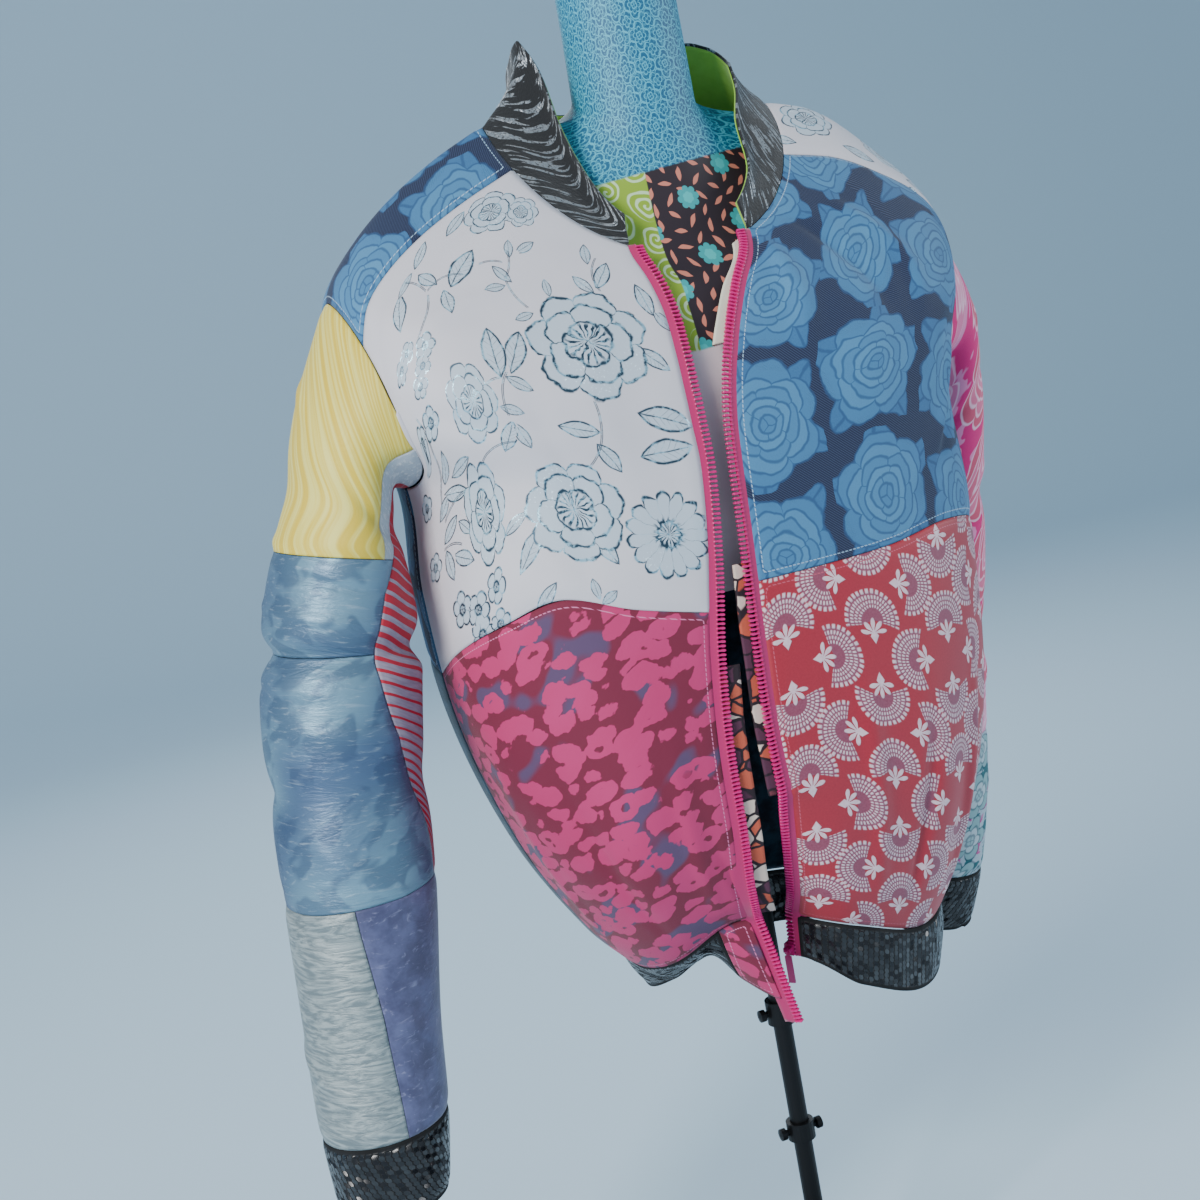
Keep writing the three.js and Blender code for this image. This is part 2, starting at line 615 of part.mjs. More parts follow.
function sleeveGrid(side, rows, thetasAt) {
  const points = [];
  const normals = [];
  for (const base of rows) {
    const thetas = thetasAt(base);
    const place = (theta) => Math.min(base + smooth(SLANT, base).drop * cos(theta), 1.02);
    points.push(thetas.map((theta) => sleevePoint(side, theta, place(theta))));
    normals.push(thetas.map((theta) => (base === 0
      ? armholeNormal(side, theta) : sleeveNormal(side, theta, place(theta)))));
  }
  return { points, normals };
}

function rightThetas(s) {
  const at = smooth(RIGHT_LINES, s);
  const outer = spread(at.back, at.front, OUTER_SHARES);
  const fore = spread(at.front, at.gusset, FRONT_SHARES);
  const under = spread(at.gusset, at.round, GUSSET_SHARES);
  return [...outer, ...fore.slice(1), ...under.slice(1, -1)];
}
const leftThetas = () => [...HOLE_BACK.slice(0, -1).reverse(), ...HOLE_TOP.slice(0, -1).reverse(),
  ...HOLE_FRONT.slice(0, -1).reverse()];

const sleeves = {
  right: sleeveGrid('right', RIGHT_ROWS, rightThetas),
  left: sleeveGrid('left', LEFT_ROWS, leftThetas),
};

// A piece of a sleeve: rows and columns of its grid. With no columns it goes all round.
function addSleevePiece(name, side, [low, high], columns, color, roughness, metalness) {
  const grid = sleeves[side];
  const count = grid.points[0].length;
  const pick = (rows) => rows.slice(low, high + 1).map((row) => (columns
    ? Array.from({ length: columns[1] - columns[0] + 1 }, (_, i) => row[(columns[0] + i) % count])
    : row));
  const geometry = wall(pick(grid.points), pick(grid.normals), { round: !columns });
  add(name, geometry, color, roughness, metalness);
}

const RIGHT_COUNT = sleeves.right.points[0].length;
const BACK_SEAM_COLUMN = 3;
addSleevePiece('right_sleeve_yellow', 'right', [0, ROW.yellowEnd], [0, FRONT_START], 0xe1cd46, 0.45);
addSleevePiece('right_sleeve_white', 'right', [0, ROW.yellowEnd], [FRONT_START, GUSSET_START],
  0xb4b8bc, 0.6);
addSleevePiece('right_sleeve_foil_upper', 'right', [ROW.yellowEnd, ROW.elbow], [0, GUSSET_START],
  0x7f9ab0, 0.35, 0.5);
addSleevePiece('right_sleeve_gusset', 'right', [0, ROW.foilEnd], [GUSSET_START, RIGHT_COUNT],
  0xb41432, 0.55);
addSleevePiece('right_sleeve_foil_lower', 'right', [ROW.elbow, ROW.foilEnd], [0, GUSSET_START],
  0x5a7896, 0.35, 0.5);
addSleevePiece('right_sleeve_silver', 'right', [ROW.foilEnd, ROW.cuff], [BACK_SEAM_COLUMN, FRONT_START],
  0x96a5aa, 0.35, 0.5);
addSleevePiece('right_sleeve_violet', 'right', [ROW.foilEnd, ROW.cuff],
  [FRONT_START, RIGHT_COUNT + BACK_SEAM_COLUMN], 0x50507d, 0.7);
addSleevePiece('right_cuff', 'right', [ROW.cuff, ROW.end], null, ...BLACK);
addSleevePiece('left_sleeve_rose', 'left', [0, LEFT_ROW.rose], null, 0xc8204e, 0.7);
addSleevePiece('left_sleeve_teal', 'left', [LEFT_ROW.rose, LEFT_ROW.cuff], null, 0x328287, 0.7);
addSleevePiece('left_cuff', 'left', [LEFT_ROW.cuff, LEFT_ROW.end], null, ...BLACK);

// Collar on the neck seam's points, and its lining inside it.
const neckRight = spread(smooth(FRONT_EDGE, 1).right, YOKE_NECK.right, NECK_SHARES);
const neckLeft = spread(smooth(FRONT_EDGE, 1).left, YOKE_NECK.left, NECK_SHARES);
const neckBack = spread(YOKE_NECK_BACK.left, YOKE_NECK_BACK.right + 360, even(8));
const neckAngles = [
  ...neckLeft,
  ...yokeNeck('left').slice(1),
  ...neckBack.slice(1),
  ...yokeNeck('right').reverse().slice(1).map((phi) => phi + 360),
  ...neckRight.reverse().slice(1).map((phi) => phi + 360)].map((phi) => phi - 360);
const COLLAR_ROWS = even(5);

function collarWall(options, shares) {
  const points = shares.map((t) => neckAngles.map((phi) => collarPoint(phi, t)));
  const normals = shares.map((t) => neckAngles.map((phi) => (t === 0
    ? between(bodyNormal(phi, 1), collarNormal(phi, 0)) : collarNormal(phi, t))));
  return wall(points, normals, options);
}
add('collar', collarWall({}, COLLAR_ROWS), ...BLACK);
add('collar_lining', collarWall({ thick: 1, sink: WALL + 0.7 }, [0.16, 0.36, 0.58, 0.8, 0.97]),
  0x9cc83c, 0.8);

// Hem band and the tab that ends it at the right zip.
const BAND_ROWS = even(3);
const TAB_COLUMNS = 3;
const hemAngle = (side, share) => {
  const edge = smooth(FRONT_EDGE, 0)[side];
  return edge + (SIDE_SEAM[side] - edge) * share;
};
const hemAngles = [
  ...ACROSS.map((share) => hemAngle('right', share)).reverse().map((phi) => phi + 360),
];
const hemRound = [
  ...ACROSS.map((share) => hemAngle('left', share)),
  ...backHem.slice(1),
  ...hemAngles.slice(1)];

function bandWall(angles) {
  const points = BAND_ROWS.map((t) => angles.map((phi) => bandPoint(phi, t)));
  const normals = BAND_ROWS.map((t) => angles.map((phi) => (
    t === 0 ? sewnNormal([phi, 0]) : bandNormal(phi, t))));
  return { points, normals };
}
const bandEnd = hemRound.length - TAB_COLUMNS;
const bandGrid = bandWall(hemRound.slice(0, bandEnd));
const tabGrid = bandWall(hemRound.slice(bandEnd - 1));
add('hem_band', wall(bandGrid.points, bandGrid.normals), ...BLACK);
add('right_hem_tab', wall(tabGrid.points, tabGrid.normals), ...LEOPARD);

// A closed strip with one profile along a path. A place of the path has its point, the way across, away
// from the panel, and the way out of the cloth; a profile point is [across, out].
function strip(places, profile) {
  const points = places.flatMap(({ at, across, out }) => profile.map(([u, w]) => (
    at.clone().addScaledVector(across, u).addScaledVector(out, w))));
  const count = profile.length;
  const last = (places.length - 1) * count;
  const faces = [];
  for (let i = 0; i < places.length - 1; i += 1) {
    for (let k = 0; k < count; k += 1) {
      const a = i * count + k;
      const b = i * count + ((k + 1) % count);
      faces.push([a, b, b + count], [a, b + count, a + count]);
    }
  }
  const cap = THREE.ShapeUtils.triangulateShape(profile.map(([u, w]) => new THREE.Vector2(u, w)), []);
  for (const [a, b, c] of cap) {
    faces.push([a, c, b], [last + a, last + b, last + c]);
  }
  return solid(points, faces);
}

// The zip's tail goes on straight past its lowest place.
const ZIP_TAIL = 20;
function zipTail(places) {
  const [end, next] = places;
  const way = end.at.clone().sub(next.at).normalize();
  return { ...end, at: end.at.clone().addScaledVector(way, ZIP_TAIL) };
}

// The places along a front edge from the band's lower edge up to the neck.
function edgePlaces(side) {
  const { low, high } = fronts[side];
  const column = (grid) => (side === 'right' ? grid[0].length - 1 : 0);
  const inward = (grid) => (side === 'right' ? grid[0].length - 2 : 1);
  const places = [];
  const push = ({ points, normals }, i) => {
    const at = points[i][column(points)];
    const across = at.clone().sub(points[i][inward(points)]).normalize();
    places.push({ at, across, out: normals[i][column(points)] });
  };
  const band = side === 'right' ? tabGrid : bandGrid;
  for (let i = band.points.length - 1; i > 0; i -= 1) push(band, i);
  for (let i = 0; i < low.points.length; i += 1) push(low, i);
  for (let i = 1; i < high.points.length; i += 1) push(high, i);
  if (side === 'right') places.unshift(zipTail(places));
  for (const place of places) {
    place.out = place.out.clone().addScaledVector(place.across, -place.out.dot(place.across)).normalize();
  }
  return places;
}

const zipPlaces = { right: edgePlaces('right'), left: edgePlaces('left') };
const TAPE = { start: 0.5, end: 4, top: -0.5, bottom: -1.7 };
const CHAIN = { start: 4, end: 9, top: 1, bottom: -2.4 };
const ZIP_PROFILE = [
  [TAPE.start, TAPE.bottom],
  [TAPE.end - 0.4, TAPE.bottom],
  [CHAIN.start, CHAIN.bottom],
  [CHAIN.end, CHAIN.bottom],
  [CHAIN.end + 0.5, (CHAIN.top + CHAIN.bottom) / 2],
  [CHAIN.end, CHAIN.top],
  [CHAIN.start, CHAIN.top],
  [TAPE.end - 0.4, TAPE.top],
  [TAPE.start, TAPE.top]];
add('right_zip', strip(zipPlaces.right, ZIP_PROFILE), 0xc8288c, 0.5);
add('left_zip', strip(zipPlaces.left, ZIP_PROFILE), 0xc8288c, 0.5);

// Slider at the foot of the left chain: a channel round the chain, and two ears with a pin in front. The
// pull tab hangs from the pin. Sizes are across the zip, out of the cloth and along the zip.
const SLIDER = { low: 0.12, middle: 0.6, high: 0.9, gap: 0.3, plate: 1.5, ear: 1.2, earWide: 3.2,
  earGap: 3, earHigh: 4, foot: 0.6, pin: 0.9 };
const PULL = { wide: 5, thick: 1.4, long: 20, eye: 2.2, eyeWide: 2.2, stem: 5 };

// A geometry with its shared points merged, and no triangle left without area.
function clean(geometry) {
  geometry.deleteAttribute('uv');
  geometry.deleteAttribute('normal');
  const merged = mergeVertices(geometry, 1e-4);
  const index = merged.index.array;
  const kept = [];
  for (let i = 0; i < index.length; i += 3) {
    const [a, b, c] = [index[i], index[i + 1], index[i + 2]];
    if (a !== b && b !== c && c !== a) kept.push(a, b, c);
  }
  merged.setIndex(kept);
  return merged;
}

const box = (x, y, z) => clean(new THREE.BoxGeometry(x, y, z));
const rod = (long, radius) => clean(new THREE.CylinderGeometry(radius, radius, long, 20))
  .rotateZ(Math.PI / 2);
const join = (...pieces) => pieces.map(toManifold).reduce((sum, piece) => sum.add(piece));
const basis = (x, y, z, origin) => new THREE.Matrix4().makeBasis(x, y, z).setPosition(origin);

function zipEnd() {
  const [foot, next] = zipPlaces.left;
  const along = next.at.clone().sub(foot.at);
  const up = along.clone().normalize();
  const across = foot.across.clone().addScaledVector(up, -foot.across.dot(up)).normalize();
  const out = up.clone().cross(across);
  if (out.dot(foot.out) < 0) out.negate();
  const chainMiddle = (CHAIN.start + CHAIN.end) / 2;
  const outerTop = CHAIN.top + SLIDER.gap + SLIDER.plate;
  const places = [SLIDER.low, SLIDER.high].map((share) => (
    { at: foot.at.clone().addScaledVector(along, share), across, out }));
  const low = CHAIN.bottom - SLIDER.gap;
  const high = CHAIN.top + SLIDER.gap;
  const close = CHAIN.end + 0.5 + SLIDER.gap;
  const channel = strip(places, [
    [CHAIN.start, high], [close, high], [close, low], [CHAIN.start, low],
    [CHAIN.start, low - SLIDER.plate], [close + SLIDER.plate, low - SLIDER.plate],
    [close + SLIDER.plate, outerTop], [CHAIN.start, outerTop]]);
  const pinAt = foot.at.clone().addScaledVector(along, SLIDER.middle)
    .addScaledVector(across, chainMiddle + SLIDER.plate / 2)
    .addScaledVector(out, outerTop + SLIDER.earHigh - SLIDER.pin);
  const seat = basis(across, out, across.clone().cross(out), pinAt);
  const earDeep = SLIDER.earHigh + SLIDER.foot;
  const earOut = (SLIDER.earGap + SLIDER.ear) / 2;
  const ear = (side) => box(SLIDER.ear, earDeep, SLIDER.earWide)
    .translate(side * earOut, SLIDER.pin - earDeep / 2, 0);
  const bail = join(rod(2 * earOut, SLIDER.pin), ear(1), ear(-1));
  const level = point(across.x, across.y, 0).normalize();
  const upward = point(0, 0, 1);
  const eye = rod(PULL.eyeWide, PULL.eye);
  const blade = box(PULL.wide, PULL.thick, PULL.long).translate(0, 0, 1 - PULL.stem - PULL.long / 2);
  const stem = box(PULL.eyeWide, PULL.thick, PULL.stem).translate(0, 0, -PULL.stem / 2);
  const tab = join(eye, stem, blade).subtract(toManifold(rod(PULL.wide, SLIDER.pin + SLIDER.gap)));
  const seated = fromManifold(bail).applyMatrix4(seat);
  return {
    slider: fromManifold(join(channel, seated)),
    pull: fromManifold(tab).applyMatrix4(basis(level, upward.clone().cross(level), upward, pinAt)),
  };
}
const end = zipEnd();
add('zip_slider', end.slider, 0xc8288c, 0.35, 0.3);
add('zip_pull', end.pull, 0xc8288c, 0.35, 0.3);

// Strips behind the zip: from which place of the edge to which, and how far they reach out past it.
const STRIP = { inner: -10, top: -3.1, bottom: -4.5 };
const stripProfile = (outer) => [
  [STRIP.inner, STRIP.bottom], [outer, STRIP.bottom], [outer, STRIP.top], [STRIP.inner, STRIP.top]];
add('right_zip_guard', strip(zipPlaces.right.slice(4, 12), stripProfile(19)), 0x7a4a6a, 0.8);
add('left_zip_guard', strip(zipPlaces.left.slice(7, 13), stripProfile(15)), 0x6a5a78, 0.8);
add('left_neck_facing', strip(zipPlaces.left.slice(-4), stripProfile(17)), 0xe0dcc8, 0.8);

// Dress form: the jacket's own rings without folds, drawn in by a clearance that is least on the
// shoulders, which carry it. Above the neck seam it runs in to a round neck with a domed cap.
const FORM = table(['v', 'side', 'front', 'back'], [
  [0.44, 34, 22, 26],
  [0.55, 34, 18, 22],
  [0.66, 36, 14, 18],
  [0.74, 30, 12, 14],
  [0.80, 16, 10, 10],
  [0.86, 3.5, 9, 8],
  [0.90, 1.5, 8, 7],
  [0.94, 1.8, 9, 7],
  [1.00, 6, 12, 8]]);
const FORM_ROWS = [0.46, 0.5, 0.55, 0.6, 0.66, 0.72, 0.77, 0.82, 0.86, 0.9, 0.94, 0.97, 1];
const FORM_COLUMNS = 40;
const NECK_MIDDLE = { x: 12, y: 6 };
const NECK_BASE = 934;
const NECK_BASE_TILT = 16;      // the neck starts this much higher behind and lower in front

function formPoint(phi, v) {
  const clear = smooth(FORM, v);
  const ahead = cos(phi) ** 2;
  const facing = cos(phi) > 0 ? clear.front : clear.back;
  const inset = WALL + clear.side * (1 - ahead) ** 3 + facing * (1 - (1 - ahead) ** 3);
  return bodyPoint(phi, v, true).addScaledVector(bodyNormal(phi, v, true), -inset);
}

function dressForm() {
  const angles = Array.from({ length: FORM_COLUMNS }, (_, i) => (i * 360) / FORM_COLUMNS);
  const rings = FORM_ROWS.map((v) => angles.map((phi) => formPoint(phi, v)));
  for (const p of rings[0]) p.z = FORM_BOTTOM;
  const neckCircle = (radius, z) => angles.map((phi) => point(
    NECK_MIDDLE.x + radius * sin(phi), NECK_MIDDLE.y - radius * cos(phi), z));
  const low = rings[rings.length - 1];
  const high = neckCircle(NECK_RADIUS, NECK_BASE);
  high.forEach((p, i) => { p.z -= NECK_BASE_TILT * cos(angles[i]); });
  for (const t of [0.25, 0.5, 0.75]) {
    rings.push(low.map((p, i) => {
      const way = p.clone().sub(rings[FORM_ROWS.length - 2][i]).normalize();
      const reach = p.distanceTo(high[i]) * 0.7;
      return p.clone().multiplyScalar(2 * t ** 3 - 3 * t ** 2 + 1)
        .addScaledVector(way, (t ** 3 - 2 * t ** 2 + t) * reach)
        .addScaledVector(high[i], 3 * t ** 2 - 2 * t ** 3)
        .addScaledVector(point(0, 0, 1), (t ** 3 - t ** 2) * reach);
    }));
  }
  rings.push(high);
  rings.push(neckCircle(NECK_RADIUS - 1, NECK_TOP - 50));
  rings.push(neckCircle(NECK_RADIUS - 1, NECK_TOP - 10));
  rings.push(neckCircle(NECK_RADIUS - 5, NECK_TOP - 3));
  rings.push(neckCircle(NECK_RADIUS - 16, NECK_TOP));
  const points = rings.flat();
  const faces = [];
  for (let i = 0; i < rings.length - 1; i += 1) {
    for (let j = 0; j < FORM_COLUMNS; j += 1) {
      const a = i * FORM_COLUMNS + j;
      const b = i * FORM_COLUMNS + ((j + 1) % FORM_COLUMNS);
      faces.push([a, b, b + FORM_COLUMNS], [a, b + FORM_COLUMNS, a + FORM_COLUMNS]);
    }
  }
  const top = (rings.length - 1) * FORM_COLUMNS;
  const bottomMiddle = points.push(point(0, 0, FORM_BOTTOM)) - 1;
  const topMiddle = points.push(point(NECK_MIDDLE.x, NECK_MIDDLE.y, NECK_TOP)) - 1;
  for (let j = 0; j < FORM_COLUMNS; j += 1) {
    const next = (j + 1) % FORM_COLUMNS;
    faces.push([bottomMiddle, next, j], [topMiddle, top + j, top + next]);
  }
  return solid(points, faces);
}
add('dress_form', dressForm(), 0xd8c8c8, 0.4);

// Stand: a round base, a pole up to the form, and a clamp with two small knobs on the pole.
const STAND_GAP = 0.3;
const POLE_SIDES = 24;
const CLAMPS = table(['middle', 'height', 'radius', 'leftKnob', 'rightKnob'], [
  [267, 18, 10.5, 0, 1],
  [172, 14, 10.5, 1, 1]]);
const KNOB = { stem: 2.5, radius: 4.5, start: 3, rim: 8, end: 9 };

function lathe(profile, sides) {
  return clean(new THREE.LatheGeometry(profile.map(([r, z]) => new THREE.Vector2(r, z)), sides)
    .rotateX(Math.PI / 2));
}
add('stand_base', lathe([[0, 0], [BASE_RADIUS, 0], [BASE_RADIUS, 6], [BASE_RADIUS - 5, BASE_THICK - 2],
  [BASE_RADIUS - 14, BASE_THICK], [0, BASE_THICK]], 48), 0x101012, 0.5, 0.6);
add('stand_pole', lathe([[0, BASE_THICK + STAND_GAP], [POLE_RADIUS, BASE_THICK + STAND_GAP],
  [POLE_RADIUS, FORM_BOTTOM - STAND_GAP], [0, FORM_BOTTOM - STAND_GAP]], POLE_SIDES), 0x101012, 0.5, 0.6);

function poleClamp(clamp) {
  const inner = POLE_RADIUS + STAND_GAP;
  const low = clamp.middle - clamp.height / 2;
  const high = clamp.middle + clamp.height / 2;
  const ring = lathe(
    [[inner, low], [clamp.radius, low], [clamp.radius, high], [inner, high], [inner, low]], POLE_SIDES);
  let body = toManifold(ring);
  for (const [side, wanted] of [[1, clamp.leftKnob], [-1, clamp.rightKnob]]) {
    if (!wanted) continue;
    const knob = lathe([[0, 0], [KNOB.stem, 0], [KNOB.stem, KNOB.start], [KNOB.radius, KNOB.start + 1],
      [KNOB.radius, KNOB.rim], [0, KNOB.end]], 12);
    knob.rotateY((side * Math.PI) / 2);
    knob.translate(side * (clamp.radius - 1.5), 0, clamp.middle);
    body = body.add(toManifold(knob));
  }
  return fromManifold(body);
}
add('pole_clamp', poleClamp(CLAMPS[0]), 0x101012, 0.5, 0.6);
add('pole_collar', poleClamp(CLAMPS[1]), 0x101012, 0.5, 0.6);

export default group;
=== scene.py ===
"""The looks of a patchwork bomber jacket that hangs open on a short dress form.

Lengths are metres in Blender and millimetres in the tables. X runs to the wearer's left, the front
faces -Y and Z is up. Phi goes round the body from the front middle, plus to the wearer's left, and v
from the hem seam to the neck seam. Theta goes round a sleeve from the shoulder, plus to the front, and
s along it from the armhole to the cuff's edge.
"""

import bmesh
import bpy
import numpy as np
from mathutils import Matrix, Vector


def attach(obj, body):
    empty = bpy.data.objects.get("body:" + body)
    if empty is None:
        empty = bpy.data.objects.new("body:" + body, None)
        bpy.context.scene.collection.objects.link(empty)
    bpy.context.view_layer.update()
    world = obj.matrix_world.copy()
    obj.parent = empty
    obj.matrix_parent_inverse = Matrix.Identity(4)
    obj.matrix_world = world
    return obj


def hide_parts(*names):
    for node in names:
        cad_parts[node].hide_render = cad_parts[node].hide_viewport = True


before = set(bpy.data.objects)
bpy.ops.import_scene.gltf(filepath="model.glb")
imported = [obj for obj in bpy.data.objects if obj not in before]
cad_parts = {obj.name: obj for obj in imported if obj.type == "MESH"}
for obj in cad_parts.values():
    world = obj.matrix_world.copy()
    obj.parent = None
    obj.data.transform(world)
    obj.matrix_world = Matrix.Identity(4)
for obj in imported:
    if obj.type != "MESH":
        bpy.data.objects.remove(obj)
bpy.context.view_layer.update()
JACKET = "jacket_on_stand"

# The camera looks from a little to the wearer's right of the front, just above the chest's height, and
# is tilted, so the whole picture leans.
AIM = np.array([-0.081, 0.0, 0.600])
AZIMUTH = np.radians(-20)
ELEVATION = np.radians(9)
DISTANCE = 1.250
ROLL = np.radians(10.5)
LENS = 53.58

toward_camera = np.array([np.sin(AZIMUTH) * np.cos(ELEVATION), -np.cos(AZIMUTH) * np.cos(ELEVATION),
                          np.sin(ELEVATION)])
level = np.cross(-toward_camera, [0, 0, 1])
level /= np.linalg.norm(level)
upright = np.cross(level, -toward_camera)
camera_right = np.cos(ROLL) * level - np.sin(ROLL) * upright
camera_up = np.sin(ROLL) * level + np.cos(ROLL) * upright
camera = bpy.data.objects.new("camera", bpy.data.cameras.new("camera"))
camera.data.lens = LENS
camera.data.sensor_width = 36
seat = np.eye(4)
seat[:3] = np.stack([camera_right, camera_up, toward_camera, AIM + toward_camera * DISTANCE], axis=1)
camera.matrix_world = Matrix(seat.tolist())
bpy.context.scene.collection.objects.link(camera)
bpy.context.scene.camera = camera


# A plain room: a pale floor that sweeps up behind, and soft lamps from the front, the side and behind.
class Wire:
    """A socket of one material, with operators that add Math nodes."""

    def __init__(self, tree, socket):
        self.tree = tree
        self.socket = socket

    def node(self, kind, settings=(), **sockets):
        """A new node of that type with its settings, then its sockets' values or links."""
        made = self.tree.nodes.new(kind)
        for name, value in dict(settings).items():
            setattr(made, name, value)
        for name, value in sockets.items():
            key = int(name[1:]) if name[0] == "i" and name[1:].isdigit() else name.replace("_", " ")
            target = made.inputs[key]
            if isinstance(value, Wire):
                self.tree.links.new(value.socket, target)
            else:
                target.default_value = value
        return made

    def out(self, made, name=0):
        """The output of a node, as a Wire."""
        return Wire(self.tree, made.outputs[name])

    def maths(self, operation, *values, clamp=False):
        """One Math node on up to three values."""
        named = {f"i{i}": value for i, value in enumerate(values)}
        return self.out(self.node("ShaderNodeMath", {"operation": operation, "use_clamp": clamp}, **named))

    def __add__(self, other):
        return self.maths("ADD", self, other)

    __radd__ = __add__

    def __mul__(self, other):
        return self.maths("MULTIPLY", self, other)

    __rmul__ = __mul__

    def __sub__(self, other):
        return self.maths("SUBTRACT", self, other)

    def __rsub__(self, other):
        return self.maths("SUBTRACT", other, self)

    def __truediv__(self, other):
        return self.maths("DIVIDE", self, other)

    def __neg__(self):
        return self.maths("MULTIPLY", self, -1.0)

    def __pow__(self, other):
        return self.maths("POWER", self, other)

    def sin(self):
        return self.maths("SINE", self)

    def cos(self):
        return self.maths("COSINE", self)

    def abs(self):
        return self.maths("ABSOLUTE", self)

    def floor(self):
        return self.maths("FLOOR", self)

    def fract(self):
        return self.maths("FRACT", self)

    def root(self):
        return self.maths("SQRT", self)

    def most(self, other):
        return self.maths("MAXIMUM", self, other)

    def angle(self, ahead):
        """The angle whose sides are this and ahead, from -pi to pi."""
        return self.maths("ARCTAN2", self, ahead)

    def under(self, limit):
        """1 where the value is under the limit."""
        return self.maths("LESS_THAN", self, limit)

    def ramp(self, low, high):
        """0 below low, 1 above high, and a smooth rise between them."""
        made = self.node("ShaderNodeMapRange", {"interpolation_type": "SMOOTHSTEP"}, Value=self)
        made.inputs["From Min"].default_value = low
        made.inputs["From Max"].default_value = high
        return self.out(made)

    def within(self, half, soft):
        """1 where the value's size is under half, with an edge that is soft wide."""
        return 1 - self.abs().ramp(half - soft, half + soft)


def linear(rgb):
    """A colour given as display values from 0 to 255, made linear."""
    values = [channel / 255 for channel in rgb]
    return [v / 12.92 if v <= 0.04045 else ((v + 0.055) / 1.055) ** 2.4 for v in values] + [1.0]


class Finish:
    """A material with its name: its tree, its shader, and the places that patterns are drawn on."""

    def __init__(self, name, roughness=0.8, metallic=0.0, sheen=0.0, coat=0.0):
        self.name = name
        self.material = bpy.data.materials.new(name)
        self.material.use_nodes = True
        self.tree = self.material.node_tree
        self.shader = self.tree.nodes["Principled BSDF"]
        self.shader.inputs["Roughness"].default_value = roughness
        self.shader.inputs["Metallic"].default_value = metallic
        self.shader.inputs["Sheen Weight"].default_value = sheen
        self.shader.inputs["Coat Weight"].default_value = coat
        self.any = Wire(self.tree, None)
        where = self.tree.nodes.new("ShaderNodeTexCoord")
        self.place = Wire(self.tree, where.outputs["Object"])
        self.cloth = Wire(self.tree, where.outputs["UV"])
        self.bumps = []

    def xy(self, vector=None):
        """The first two numbers of a vector, the cloth's own place in metres if none is given."""
        parts = self.any.node("ShaderNodeSeparateXYZ", Vector=vector or self.cloth)
        return self.any.out(parts, 0), self.any.out(parts, 1)

    def xyz(self):
        """The three numbers of the place in the room."""
        parts = self.any.node("ShaderNodeSeparateXYZ", Vector=self.place)
        return self.any.out(parts, 0), self.any.out(parts, 1), self.any.out(parts, 2)

    def point(self, x, y, z=0.0):
        """A vector from three values."""
        return self.any.out(self.any.node("ShaderNodeCombineXYZ", X=x, Y=y, Z=z))

    def noise(self, scale, detail=2.0, rough=0.5, at=None):
        """Smooth noise from 0 to 1 at so many lumps a metre, on the cloth or at another place."""
        return self.any.out(self.any.node("ShaderNodeTexNoise", Vector=at or self.cloth, Scale=scale,
                                          Detail=detail, Roughness=rough), 0)

    def cells(self, vector, scale, feature="F1", spread=1.0):
        """A Voronoi node: distance, colour and position of the nearest cell."""
        return self.any.node("ShaderNodeTexVoronoi", {"feature": feature}, Vector=vector, Scale=scale,
                             Randomness=spread)

    def length(self, vector):
        """How long a vector is."""
        made = self.any.node("ShaderNodeVectorMath", {"operation": "LENGTH"}, i0=vector)
        return self.any.out(made, "Value")

    def read(self, name, kind="Vector"):
        """The place that a piece's own map of that name gives, or the number of its attribute."""
        return self.any.out(self.any.node("ShaderNodeAttribute", {"attribute_name": name}), kind)

    def repeat(self, vector, wide, high, drop, left=0.0, low=0.0):
        """The place in a repeat of columns, each second one dropped a share of a row, with the number of
        its column and row, and a chance from 0 to 1 that is that repeat's own."""
        x, y = self.xy(vector)
        x, y = x - left, y - low
        column = (x * (1 / wide)).floor()
        y = y - (column * 0.5).fract() * (2 * drop * high)
        row = (y * (1 / high)).floor()
        chance = ((column * 12.99 + row * 78.23).sin() * 437.58).fract()
        return x - (column + 0.5) * wide, y - (row + 0.5) * high, column, row, chance

    def turned(self, x, y, angle, size):
        """A place turned by an angle and measured in sizes."""
        made = self.any.node("ShaderNodeVectorRotate", {"rotation_type": "Z_AXIS"},
                             Vector=self.point(x * (1 / size), y * (1 / size)), Angle=angle)
        return self.any.out(made)

    def polar(self, seen):
        """The distance from a motif's middle, and the angle round it."""
        x, y = self.xy(seen)
        return self.length(seen), y.angle(x)

    def warp(self, vector, scale, amount):
        """A place pushed about by smooth noise."""
        push = self.any.node("ShaderNodeTexNoise", Vector=vector, Scale=scale, Detail=2.0)
        made = self.any.node("ShaderNodeVectorMath", {"operation": "MULTIPLY_ADD"}, i0=self.any.out(push, 1),
                             i1=(amount, amount, 0.0), i2=vector)
        return self.any.out(made)

    def blossom(self, seen, layers, thin=0.035):
        """A flower of petals in layers, from the outermost in: each layer is a circle scalloped into so
        many petals. Returns the lines round and between the petals, what the flower covers, and a tone
        that steps from layer to layer."""
        r, angle = self.polar(seen)
        lines = cover = tone = None
        for k, (size, petals, start, depth) in enumerate(layers):
            lobe = (angle * (petals / 2) + start).cos().abs()
            edge = (lobe ** 0.5) * (depth * size) + size * (1 - depth)
            off = r - edge
            here = 1 - off.ramp(-thin, 0.0)
            drawn = off.within(thin, thin * 0.7).most((lobe * r).within(thin * 0.7, thin * 0.5) * here)
            lines = drawn if lines is None else (lines * (1 - here)).most(drawn)
            cover = here if cover is None else cover.most(here)
            step = here * (0.35 + 0.65 * ((k * 0.618) % 1))
            tone = step if tone is None else tone * (1 - here) + step
        return lines, cover, tone

